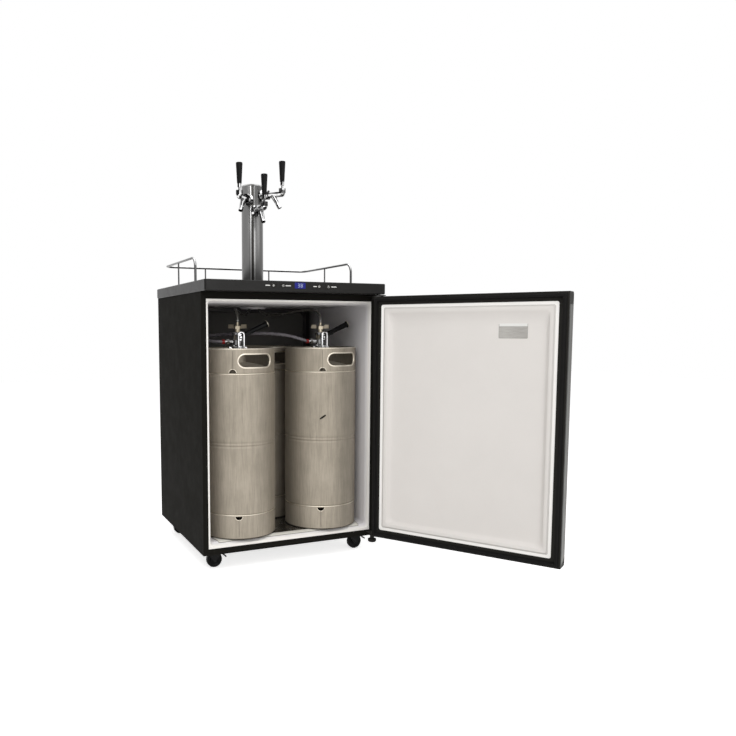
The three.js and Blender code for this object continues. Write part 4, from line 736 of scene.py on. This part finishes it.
scuff = {
    "turn": -21.5,
    "rise": 373,
    "radius": 120.2,
    # across, then its low and its high edge there
    "outline": [(-10, -6.4, -4), (-6.5, -6.6, -0.4), (-3, -5, 2.4), (0.5, -2.8, 4.8), (4, -0.4, 7),
                (7.5, 2.4, 8.6), (10.5, 5.4, 8.4)],
}


def addScuff():
    # a short dark scrape on the right keg's belly
    centre, turn = kegCentre("right"), radians(scuff["turn"])
    places = [(px, scuff["rise"] + pz) for px, *rises in scuff["outline"] for pz in rises]
    points = [onKeg(centre, scuff["radius"], turn, px, rise) for px, rise in places]
    finished(stripMesh(points), "kegScuff", "scuffDark", 0)


for name in keg["places"]:
    addKeg(name)
addScuff()
print("kegs made")

# Floor tray: its front edge, bent down over the liner's lip, with clipped corners

trayLip = {
    # how far back, half the width there, and the height
    "rows": [(60, 256.5, 99.6), (26, 251, 99.6), (16, 249, 98.6), (9.5, 247, 94.8)],
    "sheet": 0.5,
    "edge": 0.7,
}


def addTrayLip():
    points = [at(side * half, y, z) for y, half, z in trayLip["rows"] for side in (-1, 1)]
    lip = finished(stripMesh(points), "trayLip", "trayLipPale", 0)
    sheet = lip.modifiers.new("sheet", "SOLIDIFY")
    sheet.thickness = trayLip["sheet"] / 1000
    route = points[0::2] + points[1::2][::-1]
    tubePiece("trayLipEdge", route, trayLip["edge"], "weldShade", True, 3)


addTrayLip()

# Tower: a smooth column, its domed cap and its floor flange

tower = {
    "axis": (0, 360),
    "column": [(36.2, 905.3), (37.7, 905.3), (38, 905.8), (38, 1259.4), (37.6, 1260), (36.2, 1260)],
    "cap": [(0, 1250), (33.5, 1250), (33.5, 1248.4), (35.6, 1248.4), (35.6, 1260.4), (37.6, 1260.4),
            (38, 1260.9), (38, 1262), (37.4, 1263.8), (35.6, 1265.4), (32, 1266.7), (26, 1267.2),
            (12, 1267.3), (0, 1267.3)],
    "flange": [(38.3, 905.4), (60, 905.4), (60, 907.4), (59.2, 908.6), (57, 909.3), (47, 909.4),
               (44, 910.2), (42.4, 912), (41.8, 914), (41.8, 919.2), (41, 920.2), (38.5, 920.3)],
}


def addTower():
    for part, finish, slot, closed in (
        ("column", "towerSteel", "stainless", True),
        ("cap", "capSteel", "stainless", False),
        ("flange", "chrome", "chrome_steel", True),
    ):
        finished(turnedMesh(tower[part], 96, closed), f"tower{part.title()}", finish,
                 place=at(*tower["axis"], 0), replaces=f"tower_{part}")


addTower()
print("tower made")

# Tap handles, turned with a soft shoulder and a domed end

# degrees from straight ahead, and the height of the shank
taps = {"left": (-42, 1211.5), "middle": (0, 1174), "right": (42, 1229.5)}
handle = {
    "reach": 118,
    "lift": 14,
    "profile": [(0, 27), (7.4, 27), (7.9, 28), (8.4, 34), (9.4, 55), (10.6, 78), (11.3, 90), (11.3, 94),
                (10.6, 96.2), (8.6, 97), (0, 97)],
}


def fromTower(turn, reach, rise):
    # a place that far from the tower's axis, in millimetres from the drawing's zero
    x, y = tower["axis"]
    angle = radians(turn - 90)
    return Vector((x + reach * cos(angle), y + reach * sin(angle), rise))


def addTapHandles():
    for name, (turn, rise) in taps.items():
        pivot = at(*fromTower(turn, handle["reach"], rise + handle["lift"]))
        finished(turnedMesh(handle["profile"], 48), f"tapHandle_{name}", "handleBlack",
                 body=f"tap_{name}", place=pivot, replaces=f"tap_handle_{name}")


addTapHandles()
print("tap handles made")

# Guard rail: one bent tube with posts and foot discs

rail = {
    "side": 277,
    "front": 132,
    "back": 522,
    "top": 985,
    "bend": 32,
    "radius": 4,
    "post": 2.6,
    "posts": [(-277, 338), (277, 338), (-127, 522), (127, 522)],
    "foot": [(0, 905.4), (8.9, 905.4), (9, 906.2), (8.2, 907.4), (5, 908.2), (4.2, 908.3), (0, 908.3)],
}


def quarter(centre, first, second, radius, steps=10):
    # an arc from the first direction to the second one
    a, b = Vector(first), Vector(second)
    angles = [pi / 2 * i / steps for i in range(steps + 1)]
    return [Vector(centre) + radius * (a * cos(t) + b * sin(t)) for t in angles]


def addRail():
    side, front, back, top, bend = (rail[key] for key in ("side", "front", "back", "top", "bend"))
    route = [(-side, front, 905.6)]
    route += quarter((-side, front + bend, top - bend), (0, -1, 0), (0, 0, 1), bend)
    route += quarter((-side + bend, back - bend, top), (-1, 0, 0), (0, 1, 0), bend)
    route += quarter((side - bend, back - bend, top), (0, 1, 0), (1, 0, 0), bend)
    route += quarter((side, front + bend, top - bend), (0, 0, 1), (0, -1, 0), bend)
    route += [(side, front, 905.6)]
    route = [at(*place) for place in route]
    tubePiece("railTube", route, rail["radius"], "railChrome", replaces="guard_rail")
    for index, (x, y) in enumerate([(-side, front), (side, front)] + rail["posts"]):
        finished(turnedMesh(rail["foot"], 32), f"railFoot_{index}", "railChrome", 30,
                 place=at(x, y, 0))
    for index, (x, y) in enumerate(rail["posts"]):
        points = [at(x, y, rise) for rise in (906, 945, 984)]
        tubePiece(f"railPost_{index}", points, rail["post"], "railChrome")


addRail()
print("rail made")

# Hoses, on the routes that the source gives, in millimetres from the drawing's zero

hoseKinds = {
    "beer_line": dict(radius=4.25, steps=132, lead=(0, 0, 0.6), trail=(0, 0, -17), finish="beerHose"),
    "gas_hose": dict(radius=5.5, steps=84, lead=(-0.6, 0, 0), trail=(0, -0.6, 0), finish="gasHose"),
}
beerTail = [
    (124, 190, 824), (98, 240, 818), (70, 285, 811), (44, 318, 810),
    (25, 337, 820), (15, 347, 840), (12, 349, 870), (13, 346, 930),
]
hoseRoutes = {
    "beer_line_left": [
        (-146, 110, 790), (-146, 113, 803), (-145, 127, 818), (-140, 150, 824),
    ] + [(-x, y, z) for x, y, z in beerTail],
    "beer_line_right": [(150, 110, 790), (150, 113, 803), (148, 127, 818), (142, 150, 824)] + beerTail,
    "gas_hose_left": [
        (-198, 110.5, 718.5), (-210, 114, 719), (-223, 124, 720), (-232, 141, 721), (-236, 165, 723),
        (-238, 220, 728), (-243, 290, 732), (-251, 345, 734), (-257, 385, 734),
    ],
    "gas_hose_right": [
        (98, 110.5, 720), (82, 114, 725), (62, 124, 732), (36, 141, 739), (4, 162, 743), (-34, 188, 745),
        (-80, 220, 744), (-130, 256, 742), (-175, 296, 738), (-208, 338, 735), (-226, 378, 734),
    ],
}
# the keg's neck above its foot, the probe's barb above that, the gas nipple's reach and rise,
# the tap elbow's reach and drop, and the manifold's ports
fittings = {
    "neck": 595,
    "barb": 86.3,
    "nipple": (45.3, 24),
    "elbow": (20, 20.3),
    "ports": {"left": 14, "right": 42},
    "portRise": 734,
    "portGap": 0.3,
}


def spacedRoute(points, steps):
    # a centripetal curve through the points, cut into equal lengths
    places = [Vector(p) for p in points]
    ends = [2 * places[0] - places[1]] + places + [2 * places[-1] - places[-2]]
    fine = [places[0]]
    for p0, p1, p2, p3 in zip(ends, ends[1:], ends[2:], ends[3:]):
        d0, d1, d2 = (sqrt((b - a).length) for a, b in ((p0, p1), (p1, p2), (p2, p3)))
        m1 = ((p1 - p0) / d0 - (p2 - p0) / (d0 + d1) + (p2 - p1) / d1) * d1
        m2 = ((p2 - p1) / d1 - (p3 - p1) / (d1 + d2) + (p3 - p2) / d2) * d1
        for step in range(1, 33):
            t = step / 32
            place = (2 * t**3 - 3 * t**2 + 1) * p1 + (t**3 - 2 * t**2 + t) * m1
            fine.append(place + (3 * t**2 - 2 * t**3) * p2 + (t**3 - t**2) * m2)
    lengths = [0.0]
    for a, b in zip(fine, fine[1:]):
        lengths.append(lengths[-1] + (b - a).length)
    out, index = [], 0
    for step in range(steps + 1):
        goal = lengths[-1] * step / steps
        while index < len(fine) - 2 and lengths[index + 1] < goal:
            index += 1
        span = lengths[index + 1] - lengths[index]
        share = (goal - lengths[index]) / span if span else 0
        out.append(fine[index].lerp(fine[index + 1], min(max(share, 0), 1)))
    return out


def neckOf(side):
    return kegCentre(side) + Vector((0, 0, fittings["neck"])) / 1000


def hoseStart(kind, side):
    reach, rise = (0, fittings["barb"]) if kind == "beer_line" else fittings["nipple"]
    return neckOf(side) + Vector((-reach, 0, rise)) / 1000


def hoseEnd(kind, side):
    if kind == "beer_line":
        turn, rise = taps[side]
        reach, drop = fittings["elbow"]
        return at(*fromTower(turn, reach, rise - drop))
    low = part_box("gas_manifold")[0]
    port = Vector((fittings["ports"][side], -fittings["portGap"], fittings["portRise"])) / 1000
    return Vector((low[0], low[1], zero.z)) + port


def meshed(curve):
    # the mesh that a curve draws, as a piece of the same name
    bpy.context.view_layer.update()
    mesh = bpy.data.meshes.new_from_object(curve.evaluated_get(bpy.context.evaluated_depsgraph_get()))
    name = curve.name
    bpy.data.objects.remove(curve)
    piece = bpy.data.objects.new(name, mesh)
    bpy.context.scene.collection.objects.link(piece)
    return piece


def addHoses():
    for name, points in hoseRoutes.items():
        kind, side = name.rsplit("_", 1)
        values = hoseKinds[kind]
        points = [at(*place) for place in points]
        start, end = hoseStart(kind, side), hoseEnd(kind, side)
        first, last = start + Vector(values["lead"]) / 1000, end + Vector(values["trail"]) / 1000
        route = [start] + spacedRoute([first] + points + [last], values["steps"]) + [end]
        flexes = kind == "beer_line"
        body = None if flexes else "cabinet"
        piece = tubePiece(f"hose_{name}", route, values["radius"], values["finish"], body=body)
        if flexes:  # the beer line becomes a mesh in place, on no body
            piece = meshed(piece)
            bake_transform(piece)
        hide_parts(name)


addHoses()
print("hoses made")

# Red sleeves on the gas nipples, and clamps on the beer lines' probe ends and the gas hoses' manifold ends

# radius, bore, length, distance along the hose, and finish
rings = {
    "gasSleeve": (7.4, 5.6, 9, -1, "redSleeve"),
    "beerClamp": (5.6, 4.3, 6, 2, "zincPlate"),
    "gasClamp": (7.0, 5.6, 7, 2, "zincPlate"),
}


def ringAlong(name, place, direction, radius, inner, length, finish, body):
    edge = 0.5
    profile = [(inner, 0), (radius - edge, 0), (radius, edge)]
    profile += [(radius, length - edge), (radius - edge, length), (inner, length)]
    turn = Vector((0, 0, 1)).rotation_difference(direction).to_euler()
    finished(turnedMesh(profile, 32, True), name, finish, body=body, place=place, turn=turn)


def addRings():
    for side in ("left", "right"):
        for name, place, direction, body in (
            ("gasSleeve", hoseStart("gas_hose", side), Vector((-1, 0, 0)), "cabinet"),
            ("beerClamp", hoseStart("beer_line", side), Vector((0, 0, 1)), f"probe_{side}"),
            ("gasClamp", hoseEnd("gas_hose", side), Vector((0, -1, 0)), "cabinet"),
        ):
            radius, inner, length, along, finish = rings[name]
            start = place + direction * along / 1000
            ringAlong(f"{name}_{side}", start, direction, radius, inner, length, finish, body)


addRings()

# Couplers: a bright forked guard before each body, and a ring at the grip's tip that is a painted highlight

coupler = {
    # the guard's feet, across and back from the neck, and its height and radius
    "near": (-6, -26.2),
    "far": (12.5, -25.4),
    "rise": 54,
    "radius": 3.6,
    "foot": [(0, 0.2), (6.4, 0.2), (6.4, 2), (5, 3), (0, 3)],
    # the lever's pivot, its slope in degrees, and how far along it the grip ends
    "pivot": (4, 38),
    "lift": 24,
    "tip": 105.6,
    # radius, bore and length of the ring on the grip, a painted highlight at its tip
    "ring": (12, 10.4, 1.8),
}


def addCouplerGuards():
    near, far = Vector((*coupler["near"], 0)), Vector((*coupler["far"], 0))
    middle, half = (near + far) / 2, (far - near) / 2
    bend = coupler["rise"] - half.length
    angles = [pi * i / 16 for i in range(17)]
    arch = [middle - half * cos(a) + Vector((0, 0, bend + half.length * sin(a))) for a in angles]
    low = Vector((0, 0, 1.5))
    lift = radians(coupler["lift"])
    along = Vector((cos(lift), 0, sin(lift)))
    pivotX, pivotZ = coupler["pivot"]
    for side in ("left", "right"):
        base = neckOf(side)
        route = [base + place / 1000 for place in [near + low] + arch + [far + low]]
        tubePiece(f"couplerGuard_{side}", route, coupler["radius"], "couplerChrome", True, 6)
        for end, place in (("near", near), ("far", far)):
            finished(turnedMesh(coupler["foot"], 24), f"couplerFoot_{side}_{end}", "couplerChrome",
                     place=base + place / 1000)
        tip = base + (Vector((pivotX, 0, pivotZ)) + along * coupler["tip"]) / 1000
        ringAlong(f"gripHighlightRing_{side}", tip, along, *coupler["ring"], "kegRimSteel", f"coupler_handle_{side}")


addCouplerGuards()
print("couplers dressed")

# Door: everything on it is drawn shut and turned open about its hinge


def doorPlaced(mesh):
    pivot = at(*doorHinge["axis"], 0)
    turn = Matrix.Rotation(radians(doorHinge["angle"]), 4, "Z")
    mesh.transform(Matrix.Translation(zero))
    mesh.transform(Matrix.Translation(pivot) @ turn @ Matrix.Translation(-pivot))
    return mesh


def plateMesh(centre, size, corner, thickness):
    # a rounded plate that faces +Y in the shut door, with the middle of its back at centre
    points = [Vector((x, 0, z)) + Vector(centre) for x, z in roundedSlot(*size, corner, 6)]
    return loftMesh([[(place + Vector((0, y, 0))) / 1000 for place in points] for y in (0, thickness)])


gasket = {
    "half": (294.6, 386.4),
    "centre": 471,
    "section": [(0, -13.7), (12, -13.7), (12, -11.2), (10.6, -10.3), (9.7, -9.4), (9.7, -6.8),
                (10, -5.6), (10, -2.4), (9, -1.2), (3, -1.2), (2, -2.4), (2, -5.6), (2.4, -6.8),
                (2.4, -9.4), (1.4, -10.4), (0, -11.4)],
}


def addGasket():
    halfX, halfZ = gasket["half"]
    loops = []
    for sx, sz in ((-1, -1), (1, -1), (1, 1), (-1, 1)):
        loop = []
        for inset, y in gasket["section"]:
            place = (sx * (halfX - inset), y, gasket["centre"] + sz * (halfZ - inset))
            loop.append(Vector(place) / 1000)
        loops.append(loop)
    finished(doorPlaced(loftMesh(loops, closed=True)), "doorSeal", "rubberBlack", 50,
             "door", replaces="door_gasket")


addGasket()

# Door liner: a flange, a low ridge, and a dish whose top side slopes widest

doorLiner = {
    "halfWidth": 273,
    "low": 106,
    "high": 836,
    "inner": -14,
    "wall": 2.2,
    "flange": 8.5,
    "groove": (10.5, 0.6),
    "ridge": (13.5, 22, 2.5),
    "dish": 9,
    # each side's slope: its width, and how fast it falls away at first
    "slopes": {"hinge": (16, 1.6), "free": (13.5, 1.6), "top": (46, 1.9), "bottom": (13.5, 1.6)},
    "corners": (6, 26),
    "steps": 9,
}


def linerLoop(fall, inset, corner, y):
    # an outline inset from the liner's edge, and down each side's slope by a share of its fall
    insets = {}
    for side, (width, ease) in doorLiner["slopes"].items():
        insets[side] = inset + width * (1 - (1 - fall) ** (1 / ease))
    left, right = -doorLiner["halfWidth"] + insets["free"], doorLiner["halfWidth"] - insets["hinge"]
    low, high = doorLiner["low"] + insets["bottom"], doorLiner["high"] - insets["top"]
    outline = roundedSlot(right - left, high - low, corner, 8)
    return [Vector(((left + right) / 2 + x, y, (low + high) / 2 + z)) / 1000 for x, z in outline]


def addDoorLiner():
    inner, wall, dish, steps = (doorLiner[key] for key in ("inner", "wall", "dish", "steps"))
    ridgeStart, ridgeEnd, ridgeRise = doorLiner["ridge"]
    grooveInset, grooveDepth = doorLiner["groove"]
    tight, wide = doorLiner["corners"]
    ridgeCorner = tight + 2
    # from the dish's back, round the rim, and down to the dish's front
    shape = [(1, ridgeEnd, wide, -dish - wall), (0, ridgeEnd, ridgeCorner, -wall), (0, 0, tight, -wall)]
    shape += [(0, 0, tight, 0), (0, doorLiner["flange"], tight, 0), (0, grooveInset, tight, -grooveDepth)]
    shape += [(0, ridgeStart, tight, ridgeRise), (0, ridgeEnd, ridgeCorner, ridgeRise)]
    for fall in (step / steps for step in range(1, steps + 1)):
        corner, rise = ridgeCorner + (wide - ridgeCorner) * fall, ridgeRise - (ridgeRise + dish) * fall
        shape.append((fall, ridgeEnd + 1, corner, rise))
    loops = [linerLoop(fall, inset, corner, inner + rise) for fall, inset, corner, rise in shape]
    piece = finished(doorPlaced(loftMesh(loops)), "doorLinerPanel", "doorLinerWhite", 30,
                     "door", replaces="door_liner")
    # painted light on the flange's two bands, painted shade on the groove's two, after the two end faces
    count = len(loops[0])
    for slot, (finish, bands) in enumerate({"paintedLitLinerEdge": (2, 3), "paintedGrooveShade": (4, 5)}.items(), 1):
        piece.data.materials.append(finishes[finish])
        for band in bands:
            for face in piece.data.polygons[2 + band * count:2 + (band + 1) * count]:
                face.material_index = slot


addDoorLiner()

plates = {
    # the middle of its back, size, corner, thickness and finish
    "blankPlate": ((-145, -22.9, 754), (84, 44), 2.5, 0.5, "plateGrey"),
    "blankPlateHead": ((-145, -22.4, 771), (81, 8), 1, 0.15, "keyMarkGrey"),
}


def addPlates():
    for name, (*shape, finish) in plates.items():
        finished(doorPlaced(plateMesh(*shape)), name, finish, 30, "door")


addPlates()
print("door dressed")

# Symbols on the worktop's control strip, raised a hair from the keys

keySymbols = {"light": -88, "cooler": -57, "warmer": 65, "power": 97}
# across, and width
keyDashes = {"light": (-107, 15), "cooler": (-40, 17), "warmer": (50.5, 12), "power": (115.5, 19)}
strip = {"face": -58.15, "keys": 890.5, "digits": 892}
# across, up, width and height in a digit
segments = {
    "top": (0, 5, 4.4, 1.0), "middle": (0, 0, 4.4, 1.0), "bottom": (0, -5, 4.4, 1.0),
    "leftHigh": (-2.8, 2.5, 1.0, 4.2), "leftLow": (-2.8, -2.5, 1.0, 4.2),
    "rightHigh": (2.8, 2.5, 1.0, 4.2), "rightLow": (2.8, -2.5, 1.0, 4.2),
}
digits = {"first": (-5, ("top", "middle", "bottom", "rightHigh", "rightLow")), "second": (5, tuple(segments))}


def flatRing(name, x, outer, inner, start, end, body):
    steps = 24
    points = []
    for angle in (radians(start + (end - start) * step / steps) for step in range(steps + 1)):
        for radius in (inner, outer):
            points.append(at(x + radius * cos(angle), strip["face"], strip["keys"] + radius * sin(angle)))
    finished(stripMesh(points), name, "keyMarkGrey", smooth=0, body=body)


def flatBar(name, x, z, width, height, finish="keyMarkGrey", body="cabinet"):
    corners = [(-1, -1), (1, -1), (1, 1), (-1, 1)]
    points = [at(x + sx * width / 2, strip["face"], z + sz * height / 2) for sx, sz in corners]
    finished(meshOf(points, [(0, 1, 2, 3)]), name, finish, smooth=0, body=body)


def addSymbols():
    z = strip["keys"]
    for name, x in keySymbols.items():
        body = f"key_{name}_body"
        start, end = (125, 415) if name == "power" else (0, 360)
        flatRing(f"keyMark_{name}", x, 3.4, 2.7, start, end, body)
        if name == "power":
            flatBar("keyBar_power", x, z + 2.4, 0.8, 3.6, body=body)
        elif name == "light":
            flatRing("keyDot_light", x, 1.2, 0.0, 0, 360, body)
        else:
            flatBar(f"keyDash_{name}", x, z, 3.6, 0.8, body=body)
        if name == "warmer":
            flatBar("keyCross_warmer", x, z, 0.8, 3.6, body=body)
    for name, (x, width) in keyDashes.items():
        flatBar(f"stripDash_{name}", x, z, width, 2.6)
    for digit, (shift, lit) in digits.items():
        for name in lit:
            dx, dz, width, height = segments[name]
            flatBar(f"digit_{digit}_{name}", shift + dx, strip["digits"] + dz, width, height, "lampWhite")


addSymbols()
print("control strip marked")

# Light: large soft lamps, a pale floor and a pale world

lamps = {
    "keyLamp": dict(place=(-1600, -2100, 3300), aim=(100, -100, 500), size=(2200, 2200), power=75),
    "fillLamp": dict(place=(2400, -1900, 1900), aim=(0, 0, 600), size=(1800, 2000), power=16),
    "topLamp": dict(place=(0, 200, 3100), aim=(0, 200, 0), size=(2400, 2400), power=20),
    "frontLamp": dict(place=(150, -3000, 1300), aim=(0, 0, 450), size=(2000, 1600), power=23),
}
surroundings = {"world": 0.38, "floor": (238, 237, 236), "floorGlow": 0.68, "floorSize": 9.0}


def addLamps():
    for name, values in lamps.items():
        data = bpy.data.lights.new(name, "AREA")
        data.shape = "RECTANGLE"
        data.size, data.size_y = (side / 1000 for side in values["size"])
        data.energy = values["power"]
        lamp = bpy.data.objects.new(name, data)
        lamp.location = at(*values["place"])
        lamp.rotation_euler = (at(*values["aim"]) - lamp.location).to_track_quat("-Z", "Y").to_euler()
        bpy.context.scene.collection.objects.link(lamp)


def seenBy(tree):
    # 1 on a ray from the camera, a mirror or glass
    path = tree.nodes.new("ShaderNodeLightPath")
    seen = path.outputs["Is Camera Ray"]
    for ray in ("Is Transmission Ray", "Is Glossy Ray"):
        either = tree.nodes.new("ShaderNodeMath")
        either.operation = "MAXIMUM"
        tree.links.new(seen, either.inputs[0])
        tree.links.new(path.outputs[ray], either.inputs[1])
        seen = either.outputs[0]
    return seen


def addWorld():
    # white where it is seen, and a plain level for the light
    world = bpy.data.worlds.new("studio")
    bpy.context.scene.world = world
    world.use_nodes = True
    tree = world.node_tree
    tree.nodes.clear()
    whole = tree.nodes.new("ShaderNodeMixShader")
    tree.links.new(seenBy(tree), whole.inputs["Fac"])
    for socket, strength in ((1, surroundings["world"]), (2, 1.0)):
        plain = tree.nodes.new("ShaderNodeBackground")
        plain.inputs["Strength"].default_value = strength
        plain.inputs["Color"].default_value = (1, 1, 1, 1)
        tree.links.new(plain.outputs[0], whole.inputs[socket])
    output = tree.nodes.new("ShaderNodeOutputWorld")
    tree.links.new(whole.outputs[0], output.inputs["Surface"])


def addFloor():
    size = surroundings["floorSize"]
    points = [(-size, -size, 0), (size, -size, 0), (size, size, 0), (-size, size, 0)]
    mesh = meshOf(points, [(0, 1, 2, 3)])
    floor = bpy.data.objects.new("floor", mesh)
    bpy.context.scene.collection.objects.link(floor)
    graph = Graph("paleFloor")
    graph.set(Base_Color=shade(surroundings["floor"]), Roughness=0.9)
    strength = graph.math("MULTIPLY", seenBy(graph.tree), surroundings["floorGlow"])
    glow = graph.node("ShaderNodeEmission", Color=(1, 1, 1, 1), Strength=strength)
    added = graph.node("ShaderNodeAddShader")
    graph.feed(added.inputs[0], graph.shader.outputs[0])
    graph.feed(added.inputs[1], glow.outputs[0])
    graph.feed(graph.output.inputs["Surface"], added.outputs[0])
    mesh.materials.append(graph.material)


addLamps()
addWorld()
addFloor()
bpy.context.scene.view_settings.view_transform = "Standard"
print("light and floor set")
